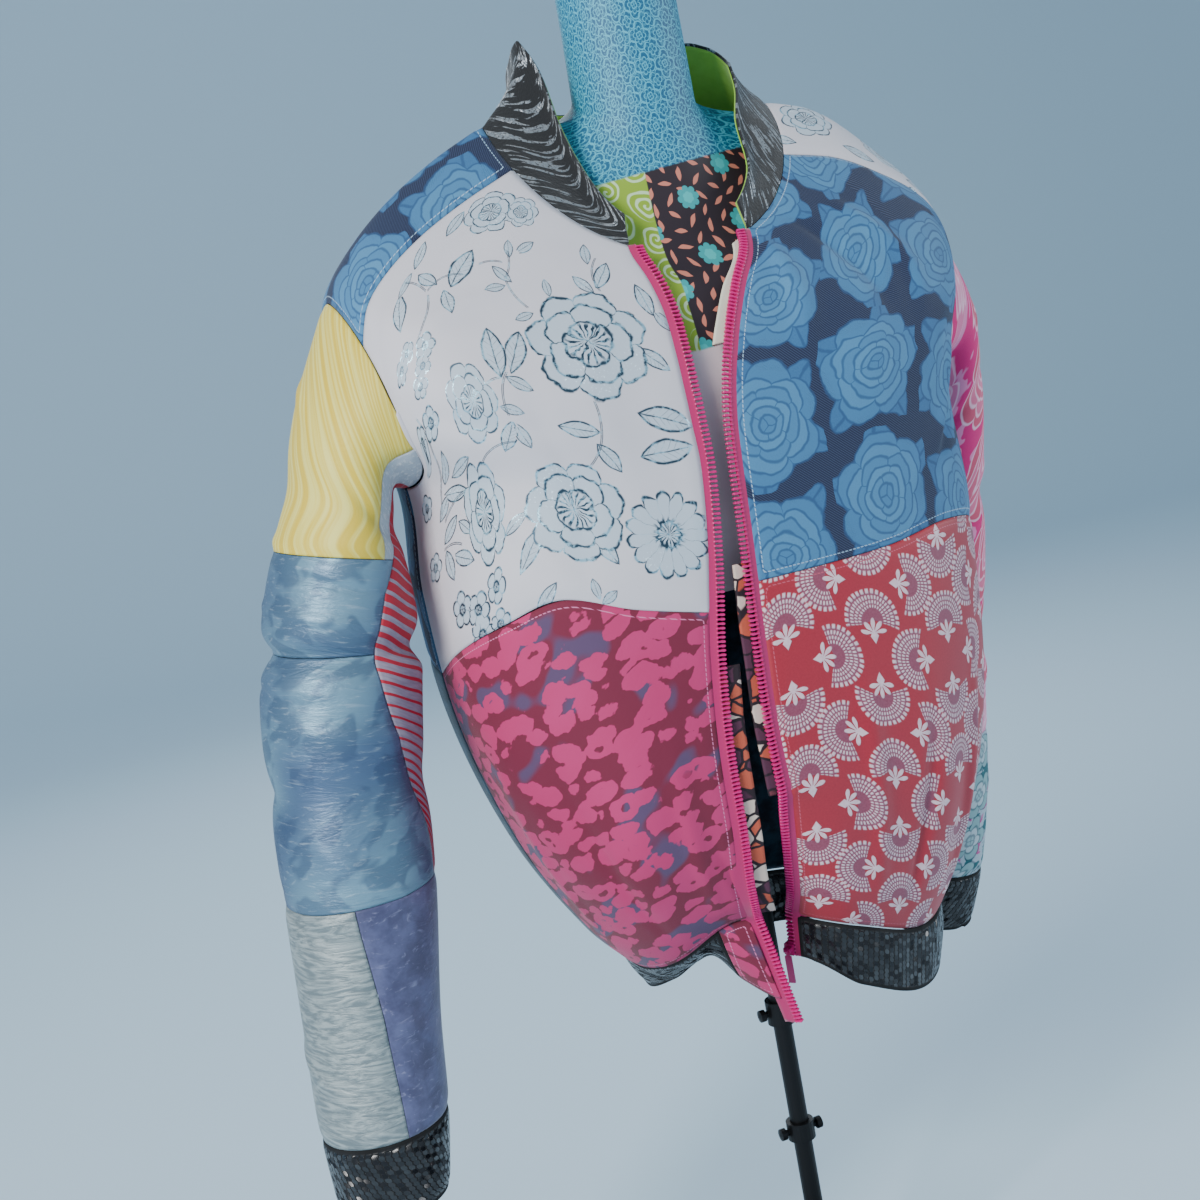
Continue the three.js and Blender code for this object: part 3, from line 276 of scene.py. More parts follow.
    def leaf(self, seen, wide=0.42, veins=4, thin=0.045):
        """A pointed leaf along x from -1 to 1: half as wide as one less x squared says. Returns its lines
        and what it covers."""
        x, y = self.xy(seen)
        off = y.abs() - (1 - x * x) * wide
        cover = 1 - off.ramp(-thin, 0.0)
        rib = y.within(thin * 0.5, thin * 0.5)
        side = ((x - y.abs() * 0.9) * (veins * np.pi)).sin().within(0.14, 0.12) * 0.6
        return off.within(thin, thin * 0.7).most(rib.most(side) * cover), cover

    def rim(self):
        """The distance to the nearest edge of the cloth."""
        return self.read("rim", "Fac")

    def stitches(self, off=0.0045):
        """1 on the small stitches that run beside a cloth's seams."""
        x, y = self.xy()
        return (self.rim() - off).within(0.00035, 0.0002) * (1 - ((x + y) * 330).fract().ramp(0.62, 0.72))

    def paint(self, value):
        """The colour, one for the whole piece or one that varies."""
        if isinstance(value, Wire):
            self.set("Base Color", value)
        else:
            self.shader.inputs["Base Color"].default_value = linear(value)

    def mix(self, share, low, high):
        """A colour between two, each a colour or a link."""
        made = self.any.node("ShaderNodeMix", {"data_type": "RGBA"})
        for place, value in ((0, share), (6, low), (7, high)):
            if isinstance(value, Wire):
                self.tree.links.new(value.socket, made.inputs[place])
            else:
                made.inputs[place].default_value = linear(value) if isinstance(value, tuple) else value
        return Wire(self.tree, made.outputs[2])

    def set(self, name, value):
        """A shader input that changes over the surface."""
        self.tree.links.new(value.socket, self.shader.inputs[name])

    def bump(self, height, depth, strength=1.0):
        """Relief of that depth in metres, on top of any before it."""
        made = self.any.node("ShaderNodeBump", Height=height, Distance=depth, Strength=strength)
        if self.bumps:
            self.tree.links.new(self.bumps[-1].outputs[0], made.inputs["Normal"])
        self.bumps.append(made)
        self.tree.links.new(made.outputs[0], self.shader.inputs["Normal"])

    def weave(self, count=900, depth=0.00015, slant=0.0):
        """Crossed threads, so many to the metre, as a fine relief. Returns the threads' height."""
        x, y = self.xy()
        across = ((x + y * slant) * (count * np.pi)).sin().abs()
        along = ((y - x * slant) * (count * np.pi)).sin().abs()
        threads = across.most(along)
        self.bump(threads, depth)
        return threads


floor_finish = Finish("pale_floor", roughness=0.95)
floor_finish.paint((196, 218, 232))
FULL_TURN = 6.28    # radians, as near as a flower's turn needs
SWEEP_FRONT, SWEEP_BACK, SWEEP_RADIUS, SWEEP_TOP, SWEEP_HALF = -6.0, 3.0, 2.0, 9.0, 12.0
bend = np.radians(np.linspace(0, 90, 24))
wall_y = SWEEP_BACK + SWEEP_RADIUS
sweep_y = np.concatenate([[SWEEP_FRONT], SWEEP_BACK + SWEEP_RADIUS * np.sin(bend), [wall_y]])
sweep_z = np.concatenate([[0], SWEEP_RADIUS * (1 - np.cos(bend)), [SWEEP_TOP]])
sweep = np.array([[side * SWEEP_HALF, y, z] for y, z in zip(sweep_y, sweep_z) for side in (-1, 1)])
strips = np.arange(len(sweep_y) - 1)[:, None] * 2 + [0, 1, 3, 2]
floor_mesh = bpy.data.meshes.new("floor")
floor_mesh.from_pydata(sweep.tolist(), [], strips.tolist())
floor_mesh.shade_smooth()
floor_mesh.materials.append(floor_finish.material)
floor = bpy.data.objects.new("floor", floor_mesh)
bpy.context.scene.collection.objects.link(floor)

room = bpy.data.worlds.new("room")
room.use_nodes = True
room.node_tree.nodes["Background"].inputs["Color"].default_value = linear((170, 196, 214))
room.node_tree.nodes["Background"].inputs["Strength"].default_value = 0.85
bpy.context.scene.world = room


def lamp(name, place, aim, size, watts, tint):
    """A square soft lamp at a place, turned to its aim."""
    data = bpy.data.lights.new(name, "AREA")
    data.size = size
    data.energy = watts
    data.color = tint
    obj = bpy.data.objects.new(name, data)
    obj.location = place
    obj.rotation_euler = (Vector(aim) - Vector(place)).to_track_quat("-Z", "Y").to_euler()
    bpy.context.scene.collection.objects.link(obj)


lamp("window", (-2.2, -1.5, 1.9), (0, 0, 0.6), 1.0, 105, (1.0, 0.98, 0.96))
lamp("side", (2.3, -0.8, 1.2), (0, 0, 0.6), 1.2, 30, (0.92, 0.96, 1.0))
lamp("behind", (0.4, 2.2, 2.0), (0, 0, 0.7), 1.4, 22, (1.0, 1.0, 1.0))


# The jacket's body is one blouse of sewn panels. Its form is a stack of rings from the hem seam to the
# neck seam, the same as the solids', with the panels' creases on top.
def cubic(u, reach, start, leave, end, arrive):
    """A cubic curve from start to end at the share u, with its slope at each, over that reach."""
    return ((2 * u**3 - 3 * u**2 + 1) * start + (u**3 - 2 * u**2 + u) * reach * leave
            + (3 * u**2 - 2 * u**3) * end + (u**3 - u**2) * reach * arrive)


def through(key, values, at, column=()):
    """A curve through values by their key: cubic pieces whose slope at a value is that between its two
    neighbours. A column, where given, says which of the values each place reads."""
    last = len(key) - 1
    before = np.maximum(np.arange(last + 1) - 1, 0)
    after = np.minimum(np.arange(last + 1) + 1, last)
    run = (key[after] - key[before]).reshape([-1] + [1] * (values.ndim - 1))
    slopes = (values[after] - values[before]) / run
    at = np.clip(np.asarray(at, float), key[0], key[-1])
    i = np.clip(np.searchsorted(key, at, side="left") - 1, 0, last - 1)
    step = (key[i + 1] - key[i])[..., None]
    u = (at[..., None] - key[i][..., None]) / step
    here, ahead = (i, *column), (i + 1, *column)
    return cubic(u, step, values[here], slopes[here], values[ahead], slopes[ahead])


def smooth(rows, at):
    """A curve through a table's rows, by the first column."""
    rows = np.asarray(rows, float)
    return through(rows[:, 0], rows[:, 1:], at)


# v, right, left, front, back, square, middle, round, zFront, zRight, zLeft, zBack
BODY = [
    [0.00, 106, 139, 100, 100, 0.10, 5, 2.0, 362, 336, 328, 340],
    [0.07, 132, 153, 118, 118, 0.15, 5, 2.0, 388, 368, 362, 366],
    [0.20, 170, 173, 136, 136, 0.25, 4, 2.0, 447, 440, 436, 440],
    [0.35, 198, 190, 143, 146, 0.30, 2, 2.0, 530, 536, 532, 534],
    [0.50, 206, 197, 140, 146, 0.35, 0, 1.9, 625, 632, 628, 630],
    [0.60, 203, 194, 133, 142, 0.42, 0, 1.7, 690, 706, 700, 702],
    [0.66, 229, 203, 128, 138, 0.50, 0, 1.6, 722, 748, 744, 744],
    [0.70, 239, 215, 124, 134, 0.50, 0, 1.5, 742, 786, 780, 772],
    [0.76, 231, 219, 116, 126, 0.40, 0, 1.4, 764, 832, 820, 806],
    [0.80, 216, 209, 110, 120, 0.30, 0, 1.3, 777, 856, 850, 826],
    [0.88, 181, 179, 98, 104, 0.20, 0, 1.15, 798, 888, 884, 868],
    [0.94, 142, 149, 92, 90, 0.10, 2, 1.1, 812, 912, 908, 894],
    [1.00, 101, 112, 84, 74, 0.00, 4, 1.1, 824, 931, 920, 915]]

# phi, slant, low, high, wide, rise
BODY_FOLDS = [
    [-44, 20, 0.00, 0.42, 9, 5],
    [-70, -10, 0.05, 0.50, 9, 5],
    [24, -10, 0.50, 0.98, 8, 6],
    [44, 8, 0.45, 0.90, 8, 4],
    [34, -16, 0.00, 0.40, 9, 5],
    [64, 12, 0.02, 0.48, 9, 5],
    [150, 10, 0.05, 0.60, 12, 6],
    [-150, -10, 0.05, 0.60, 12, 6]]
HEM_WAVES = [[-32, 22, 20], [35, 28, -22]]
HEM_WAVE_TOP = 0.3

# v, right, left
FRONT_EDGE = [
    [0.00, -27, -3],
    [0.10, -25, -5.5],
    [0.20, -22.5, -7],
    [0.32, -20.5, -8],
    [0.42, -18.2, -7.5],
    [0.50, -15.5, -6.5],
    [0.60, -13, -5],
    [0.68, -10.8, -2.5],
    [0.78, -10.5, 1.5],
    [0.88, -12.5, 7.5],
    [0.94, -17, 14],
    [1.00, -25, 23]]
ROLL_DEPTH, ROLL_WIDTH, ROLL_TOP, ROLL_PAST = 24, 36, 0.24, 20

# Creases that only show close to: from phi and v to phi and v, half width and rise in millimetres.
CREASES = [
    [-62, 0.60, -40, 0.50, 7, 2.0],
    [-64, 0.68, -36, 0.66, 6, -1.6],
    [-60, 0.74, -44, 0.86, 8, 2.2],
    [-28, 0.56, -24, 0.86, 9, 1.6],
    [-40, 0.50, -36, 0.74, 8, -1.4],
    [-16, 0.50, -15, 0.70, 6, 1.2],
    [-34, 0.06, -30, 0.34, 6, 2.2],
    [-52, 0.04, -60, 0.36, 7, -2.4],
    [-78, 0.06, -74, 0.34, 7, 2.0],
    [-24, 0.02, -28, 0.22, 5, -2.0],
    [12, 0.70, 20, 0.97, 6, 2.6],
    [31, 0.72, 34, 0.97, 6, -2.6],
    [40, 0.70, 46, 0.94, 6, 2.0],
    [60, 0.66, 40, 0.54, 7, 2.0],
    [62, 0.62, 30, 0.50, 8, -1.6],
    [16, 0.05, 12, 0.36, 7, 2.0],
    [28, 0.03, 30, 0.30, 5, -2.0],
    [52, 0.04, 50, 0.34, 7, 2.2],
    [76, 0.04, 74, 0.36, 7, -2.2],
    [128, 0.04, 124, 0.42, 9, 2.6],
    [176, 0.05, 184, 0.50, 10, 2.4],
    [216, 0.04, 224, 0.40, 9, -2.6],
    [140, 0.66, 160, 0.56, 10, 2.4],
    [220, 0.66, 200, 0.56, 10, 2.4],
    [-128, 0.04, -132, 0.40, 8, 2.4]]
BODY_STEPS = (2.7, 600)     # millimetres of cloth for a degree of phi, and for the whole of v


def crease_height(around, up, steps, creases):
    """The sum of soft ridges on the cloth, where the steps give the millimetres of both ways. Each falls
    off as a bell with the distance to its line and dies at its ends."""
    height = np.zeros(np.broadcast(around, up).shape)
    for around_a, up_a, around_b, up_b, wide, rise in creases:
        start = np.array([around_a * steps[0], up_a * steps[1]])
        run = np.array([around_b * steps[0], up_b * steps[1]]) - start
        x, y = around * steps[0] - start[0], up * steps[1] - start[1]
        share = np.clip((x * run[0] + y * run[1]) / (run @ run), 0, 1)
        off = np.hypot(x - share * run[0], y - share * run[1]) / wide
        height += rise * np.exp(-off**2) * np.sin(np.pi * np.clip(share, 0.02, 0.98)) ** 0.7
    return height


def body_point(phi, v, plain=False):
    """A point of the body: an ellipse-like ring at v, raised to the sides, with the folds added outwards."""
    phi, v = np.broadcast_arrays(np.asarray(phi, float), np.asarray(v, float))
    (wide_r, wide_l, front, rear, square, middle, rounding, z_front, z_right, z_left,
     z_back) = np.moveaxis(smooth(BODY, v), -1, 0)
    side, ahead = np.sin(np.radians(phi)), np.cos(np.radians(phi))
    wide = np.where(side < 0, wide_r, wide_l)
    deep = np.where(ahead > 0, front, rear)
    z_end = np.where(ahead > 0, z_front, z_back)
    z_side = np.where(side < 0, z_right, z_left)
    x = wide * side
    y = middle - deep * ahead * (1 + square * side * side)
    z = z_side + (z_end - z_side) * np.abs(ahead) ** rounding
    if not plain:
        turned = turned_from_front(phi)
        low = np.clip(1 - v / HEM_WAVE_TOP, 0, 1) ** 2
        for wave_phi, wave_wide, rise in HEM_WAVES:
            z = z + rise * low * np.exp(-(((turned - wave_phi) / wave_wide) ** 2))
        height = np.zeros(phi.shape)
        for fold_phi, slant, v_low, v_high, fold_wide, rise in BODY_FOLDS:
            along = np.clip((v - v_low) / (v_high - v_low), 0, 1)
            off = (turned - fold_phi - slant * (along - 0.5)) / fold_wide
            height += rise * np.sin(np.pi * along) ** 2 * np.exp(-off * off)
        x = x + height * side
        y = y - height * ahead
        across = (turned - smooth(FRONT_EDGE, v)[..., 1]) * np.radians(1) * wide
        near = (v < ROLL_TOP) & (across < ROLL_WIDTH) & (across > -ROLL_PAST)
        fading = 1 - np.clip(across, 0, ROLL_WIDTH) / ROLL_WIDTH
        share = np.clip(1 - v / ROLL_TOP, 0, 1) ** 0.7 * fading**2
        y = y + np.where(near, ROLL_DEPTH * share, 0)
    return np.stack([x, y, z], -1) / 1000


def unit(vectors):
    """Vectors made one long."""
    return vectors / np.maximum(np.linalg.norm(vectors, axis=-1, keepdims=True), 1e-12)


def way_out(surface, a, b, step_a, step_b):
    """The outward direction of a surface: the cross product of two short steps along it."""
    along_a = surface(a + step_a, b) - surface(a - step_a, b)
    along_b = surface(a, b + step_b) - surface(a, b - step_b)
    return unit(np.cross(along_a, along_b))


def body_out(phi, v, plain=False):
    """The body's outward direction."""
    return way_out(lambda a, b: body_point(a, b, plain), phi, np.clip(v, 0.004, 0.996), 1.0, 0.004)


def cloth_place(points):
    """A cloth's own place in metres: the length along each row, and up each column."""
    across = np.linalg.norm(np.diff(points, axis=1), axis=2)
    along = np.linalg.norm(np.diff(points, axis=0), axis=2)
    u = np.concatenate([np.zeros((points.shape[0], 1)), np.cumsum(across, axis=1)], axis=1)
    v = np.concatenate([np.zeros((1, points.shape[1])), np.cumsum(along, axis=0)], axis=0)
    return np.stack([u, v], -1)


def grid_area(points):
    """A grid's area: half the cross product of the diagonals of each cell, summed."""
    first = points[1:, 1:] - points[:-1, :-1]
    second = points[1:, :-1] - points[:-1, 1:]
    return 0.5 * np.linalg.norm(np.cross(first, second), axis=2).sum()


def turned_from_front(degrees):
    """An angle round a ring, as one from -180 to 180."""
    return (degrees + 180) % 360 - 180


def seam_distance(points, closed=False):
    """How far each point of a grid is from its nearest edge, measured on the cloth."""
    place = cloth_place(points)
    u, v = place[..., 0], place[..., 1]
    ends = np.minimum(v, v[-1:, :] - v)
    return ends if closed else np.minimum(ends, np.minimum(u, u[:, -1:] - u))


def corners_of(grid):
    """The four corners of each cell of a grid, row by row."""
    return np.stack([grid[:-1, :-1], grid[:-1, 1:], grid[1:, 1:], grid[1:, :-1]], 2)


def grid_faces(rows, columns, closed, capped=False):
    """The faces of a grid of points, joined round if it is closed, and with a face on each end if it is
    capped."""
    index = np.arange(rows * columns).reshape(rows, columns)
    caps = [index[0, ::-1].tolist(), index[-1].tolist()] if capped else []
    if closed:
        index = np.concatenate([index, index[:, :1]], axis=1)
    return corners_of(index).reshape(-1, 4).tolist() + caps


def mesh_of(name, points, faces):
    """A mesh of those points and faces."""
    mesh = bpy.data.meshes.new(name)
    mesh.from_pydata(points.reshape(-1, 3).tolist(), [], faces)
    return mesh


def finished(name, mesh, finish, soft_shaded=True):
    """A mesh as an object with its material."""
    if soft_shaded:
        mesh.shade_smooth()
    mesh.materials.append(finish.material)
    piece = bpy.data.objects.new(name, mesh)
    bpy.context.scene.collection.objects.link(piece)
    return piece


def on_jacket(piece, node):
    """A piece that hangs with the jacket and stands in for a node."""
    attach(piece, JACKET)
    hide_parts(node)


THICK = 0.0016      # cloth
SEAM_GAP = 0.0002   # from a panel's edge to the seam's line


def cloth_piece(name, points, finish, places=None, closed=False, thick=THICK, maps=None):
    """A panel of cloth: a grid of points as a mesh with the cloth's own places, thickened inwards. Maps
    are further places for its faces' corners, each worked out from the cloth's own. Its flat size is that
    of its longest row by its longest column."""
    places = cloth_place(points) if places is None else places
    mesh = mesh_of(f"{name}_cloth", points, grid_faces(*points.shape[:2], closed))
    if closed:
        gap = np.linalg.norm(points[:, :1] - points[:, -1:], axis=2)
        end = places[:, -1:] + np.stack([gap, np.zeros_like(gap)], -1)
        places = np.concatenate([places, end], axis=1)
    spots = corners_of(places).reshape(-1, 2)
    mesh.uv_layers.new(name="cloth").data.foreach_set("uv", spots.astype(np.float32).ravel())
    for map_name, place_of in (maps or {}).items():
        corners = place_of(spots.reshape(-1, 4, 2) * 1000)
        mesh.uv_layers.new(name=map_name).data.foreach_set("uv", corners.astype(np.float32).ravel())
    rim = mesh.attributes.new("rim", "FLOAT", "POINT")
    rim.data.foreach_set("value", seam_distance(points, closed).astype(np.float32).ravel())
    piece = finished(f"{name}_cloth", mesh, finish)
    shell = piece.modifiers.new("thickness", "SOLIDIFY")
    shell.thickness = thick
    shell.offset = -1
    shell.use_even_offset = False
    on_jacket(piece, name)
    area = grid_area(points if not closed else np.concatenate([points, points[:, :1]], axis=1))
    width = float(np.ptp(places[..., 0], axis=1).max())
    length = float(np.ptp(places[..., 1], axis=0).max())
    area = min(float(area), width * length)


def toward(points, gap=SEAM_GAP):
    """A grid whose outer rows and columns are drawn in by half a seam."""
    drawn = points.copy()
    drawn[0] += gap * unit(points[1] - points[0])
    drawn[-1] += gap * unit(points[-2] - points[-1])
    drawn[:, 0] += gap * unit(points[:, 1] - points[:, 0])
    drawn[:, -1] += gap * unit(points[:, -2] - points[:, -1])
    return drawn


SEAM_DIP = 0.0011
SEAM_WIDE = 0.0045


def seam_dip(points, closed=False):
    """How far the cloth sinks beside its seams: most at the edge, and gone a few millimetres in."""
    return SEAM_DIP * np.exp(-((seam_distance(points, closed) / SEAM_WIDE) ** 2))


def on_body(phi, v):
    """Points of a panel of the body, with its creases, and sunk a little beside its seams."""
    points = body_point(phi, v)
    out = body_out(phi, v)
    turned = turned_from_front(phi)
    height = (crease_height(turned, v, BODY_STEPS, CREASES)
              + crease_height(turned % 360, v, BODY_STEPS, CREASES))
    rise = height / 1000 - seam_dip(points)
    return toward(points + out * rise[..., None])


# The right front is two cloths sewn across the chest: white with flowers drawn in foil above, and a
# pink leopard print below. The left front is rose denim above, and red with pale bead fans below.
SIDE_SEAM = {"right": -90, "left": 90}
CLOTH_SEAM = {
    "right": [[0, 0.458], [0.2, 0.475], [0.4, 0.494], [0.6, 0.474], [0.8, 0.448], [1, 0.414]],
    "left": [[0, 0.478], [0.3, 0.48], [0.5, 0.487], [0.75, 0.468], [1, 0.425]]}
YOKE_NECK = {"right": -70, "left": 63}
YOKE_NECK_BACK = {"right": -122, "left": 122}
ARMHOLE = {"right": (-90, 1), "left": (93, -1)}
ARMHOLE_HALF, ARMHOLE_MIDDLE, ARMHOLE_REACH = 23, 0.68, 0.082
HOLE_FRONT = [180, 172, 157.75, 143.5, 129.25, 115, 93, 72, 50]
HOLE_TOP = [50, 33, 16, 0, -16, -33, -50]
HOLE_BACK = [-50, -72, -95, -115, -134, -153, -172, -180]
FRONT_RISE = [0, 0.04, 0.08, 0.12, 0.16, 0.2, 0.25, 0.32, 0.42, 0.54, 0.68, 0.84, 1]
BACK_RISE = [0, 0.04, 0.08, 0.12, 0.16, 0.21, 0.28, 0.38, 0.51, 0.66, 0.83, 1]


def armhole(side, theta):
    """Phi and v of the armhole's seam: an ellipse round the side."""
    middle, forward = ARMHOLE[side]
    theta = np.radians(theta)
    return np.stack([middle + forward * ARMHOLE_HALF * np.sin(theta),
                     ARMHOLE_MIDDLE + ARMHOLE_REACH * np.cos(theta)], -1)


def along(values, at):
    """A list read at fractions of its own places, so 1.5 is halfway from the second to the third."""
    return np.interp(at, np.arange(len(values)), values)


def straight(start, end, shares):
    """Places on the line from start to end."""
    shares = np.asarray(shares, float)[:, None]
    return np.asarray(start, float) * (1 - shares) + np.asarray(end, float) * shares


def net(bottom, top, first, last, shares):
    """A grid of phi and v between four sides: straight between bottom and top, and bent to the two
    others, with the bend dying away as a square."""
    u = np.linspace(0, 1, bottom.shape[0])[None, :, None]
    w = shares[:, None, None]
    plain = (1 - w) * bottom[None] + w * top[None]
    return (plain + (1 - u) ** 2 * (first[:, None] - plain[:, :1])
            + u**2 * (last[:, None] - plain[:, -1:]))


def front_edge(side, v):
    """Phi of a front's edge at v."""
    return smooth(FRONT_EDGE, v)[..., 0 if side == "right" else 1]


def lower_front(side, rows, columns):
    """Phi and v of a lower front panel, its first column at the zip."""
    u = np.linspace(0, 1, columns)[None, :]
    w = np.linspace(0, 1, rows)[:, None]
    v = w * smooth(CLOTH_SEAM[side], u)[..., 0]
    edge = front_edge(side, v)
    return edge + (SIDE_SEAM[side] - edge) * u, v


def upper_front(side, rows, columns):
    """Phi and v of an upper front panel: its side runs up the side seam and round the armhole."""
    zip_v, side_v = (float(smooth(CLOTH_SEAM[side], share)[0]) for share in (0.0, 1.0))
    u = np.linspace(0, 1, columns)
    cloth_v = smooth(CLOTH_SEAM[side], u)[:, 0]
    bottom = np.stack([front_edge(side, zip_v) * (1 - u) + SIDE_SEAM[side] * u, cloth_v], -1)
    shoulder = armhole(side, 50.0)
    neck_share = 4 / 9
    neck = float(front_edge(side, 1.0)) * (1 - u / neck_share) + YOKE_NECK[side] * u / neck_share
    on_neck = np.stack([neck, np.ones_like(u)], -1)
    on_yoke = straight([YOKE_NECK[side], 1], shoulder, np.clip((u - neck_share) / (1 - neck_share), 0, 1))
    top = np.where(u[:, None] <= neck_share, on_neck, on_yoke)
    at = np.linspace(0, 12, rows)
    shares = along(FRONT_RISE, at)
    edge_v = zip_v + (1 - zip_v) * shares
    zip_side = np.stack([front_edge(side, edge_v), edge_v], -1)
    low = straight([SIDE_SEAM[side], side_v], armhole(side, 180.0), np.clip(at / 4, 0, 1))
    high = armhole(side, along(HOLE_FRONT, np.clip(at - 4, 0, 8)))
    arm_side = np.where(at[:, None] <= 4, low, high)
    grid = net(bottom, top, zip_side, arm_side, shares)
    return grid[..., 0], grid[..., 1]


def front_piece(side, name, finish, angles, **more):
    """A front panel as a piece. Its cloth's own place counts from the zip, so the right one's x is minus."""
    phi, v = angles
    if side == "right":
        phi, v = phi[:, ::-1], v[:, ::-1]
    points = on_body(phi, v)
    place = cloth_place(points)
    if side == "right":
        place[..., 0] -= place[:, -1:, 0]
    cloth_piece(name, points, finish, place, **more)


# x and y of the middle, radius in millimetres, turn in degrees, and how slim it is
PEONIES = [[-57, 177, 39, 20], [-86, 60, 33, 75], [-142, 139, 27, 10, 0.6], [-149, 72, 32, 8, 0.5],
           [-110, 292, 20, 40, 1.2], [-84, 290, 15, 0], [40, 125, 20, 10], [34, 62, 18, 60]]
DAISIES = [[-26, 49, 27, 0]]
SMALL = [[-179, 141, 9, 0], [-196, 141, 8, 30], [-144, 25, 11, 0, 0.7], [-179, 23, 11, 20],
         [-162, 17, 11, 60], [-161, 1, 12, 0], [-143, 2, 9, 20], [-192, 181, 8, 0], [-184, 187, 7, 30],
         [-167, 183, 8, 0], [-171, 172, 7, 50], [-176, 162, 7, 0], [-205, 60, 9, 0], [-208, 100, 8, 20]]
LEAVES = [[-76, 119, 13, -12], [-60, 98, 12, -57], [-18, 123, 18, -15], [-22, 102, 18, 12],
          [-116, 36, 14, 55], [-126, 55, 9, 26], [-67, 38, 12, -48], [-107, 171, 16, 68],
          [-121, 171, 17, 96], [-108, 150, 9, -30], [-117, 132, 8, -15], [-122, 113, 12, 69],
          [-113, 113, 10, -68], [-104, 232, 9, -48], [-111, 220, 8, 15], [-96, 255, 8, 90],
          [-83, 256, 9, 33], [-95, 198, 7, 24], [-74, 221, 7, 90], [-48, 222, 9, -55], [-32, 227, 12, 51],
          [-37, 247, 9, 80], [-11, 206, 12, -83], [-4, 190, 9, -60], [-17, 163, 12, -40],
          [-170, 265, 12, 80], [-180, 243, 10, 60], [-185, 221, 16, 85], [-134, 239, 18, 58],
          [-147, 211, 11, -80], [-160, 237, 11, -50], [-178, 115, 10, 75], [-163, 107, 10, 5],
          [-172, 94, 12, -15], [-186, 90, 9, 37], [-182, 75, 10, 36], [-167, 71, 8, -45],
          [-186, 54, 11, -75], [-171, 53, 11, -28], [-106, 3, 11, 55], [-74, 10, 7, 110], [-65, 6, 7, 50],
          [-140, 286, 13, 60], [13, 92, 12, 80], [12, 40, 12, 100], [15, 150, 10, 70]]
# x and y of the start, length, turn, and how far the stem bows
STEMS = [[-63, 137, 48, -103, 0.12], [-133, 146, 18, 25, 0.15], [-91, 205, 26, 115, 0.1],
         [-102, 228, 26, 80, -0.1], [-120, 241, 18, 5, 0.1], [-181, 246, 28, -45, 0.1],
         [-160, 226, 28, 15, 0.15], [-160, 222, 34, -110, 0.1], [-192, 152, 64, -88, 0.1],
         [-187, 82, 30, 18, 0.1], [-191, 66, 20, -12, 0.1], [-38, 215, 28, 75, 0.15],
         [-120, 128, 30, 80, 0.12], [-143, 100, 26, 20, 0.1]]


def seen_from(corners, table):
    """Places seen from each motif of a table: from its middle, turned with it, in its radii. A slim motif's
    radius is shorter along its own x."""
    x, y, size, turn, slim = np.array([row + [1.0] * (5 - len(row)) for row in table], float).T
    off = corners[:, :, None] - np.stack([x, y], -1)
    turn = np.radians(turn)
    ahead = off[..., 0] * np.cos(turn) + off[..., 1] * np.sin(turn)
    aside = off[..., 1] * np.cos(turn) - off[..., 0] * np.sin(turn)
    return np.stack([ahead / (size * slim), aside / size], -1)


def picked(seen, away):
    """Of each face's views of the motifs, that of the motif which is nearest to the face's middle."""
    nearest = away.argmin(axis=1)
    return seen[np.arange(len(seen)), :, nearest]


def motif_map(table):
    """A map in radii of the nearest motif."""
    def place(corners):
        seen = seen_from(corners, table)
        return picked(seen, np.linalg.norm(seen.mean(1), axis=-1))
    return place


def stem_map(table):
    """A map along the nearest stem, from 0 to 1, and off it in millimetres: a stem bows as a parabola."""
    def place(corners):
        x, y, length, turn, bow = np.array(table, float).T
        off = corners[:, :, None] - np.stack([x, y], -1)
        turn = np.radians(turn)
        share = (off[..., 0] * np.cos(turn) + off[..., 1] * np.sin(turn)) / length
        aside = off[..., 1] * np.cos(turn) - off[..., 0] * np.sin(turn)
        aside = aside - 4 * bow * length * share * (1 - share)
        middle, side = share.mean(1), aside.mean(1)
        away = np.hypot((middle - np.clip(middle, 0, 1)) * length, side)
        return picked(np.stack([share, aside], -1), away)
    return place


FLOWER_MAPS = {"leaf": motif_map(LEAVES), "stem": stem_map(STEMS), "small": motif_map(SMALL),
               "daisy": motif_map(DAISIES), "peony": motif_map(PEONIES)}


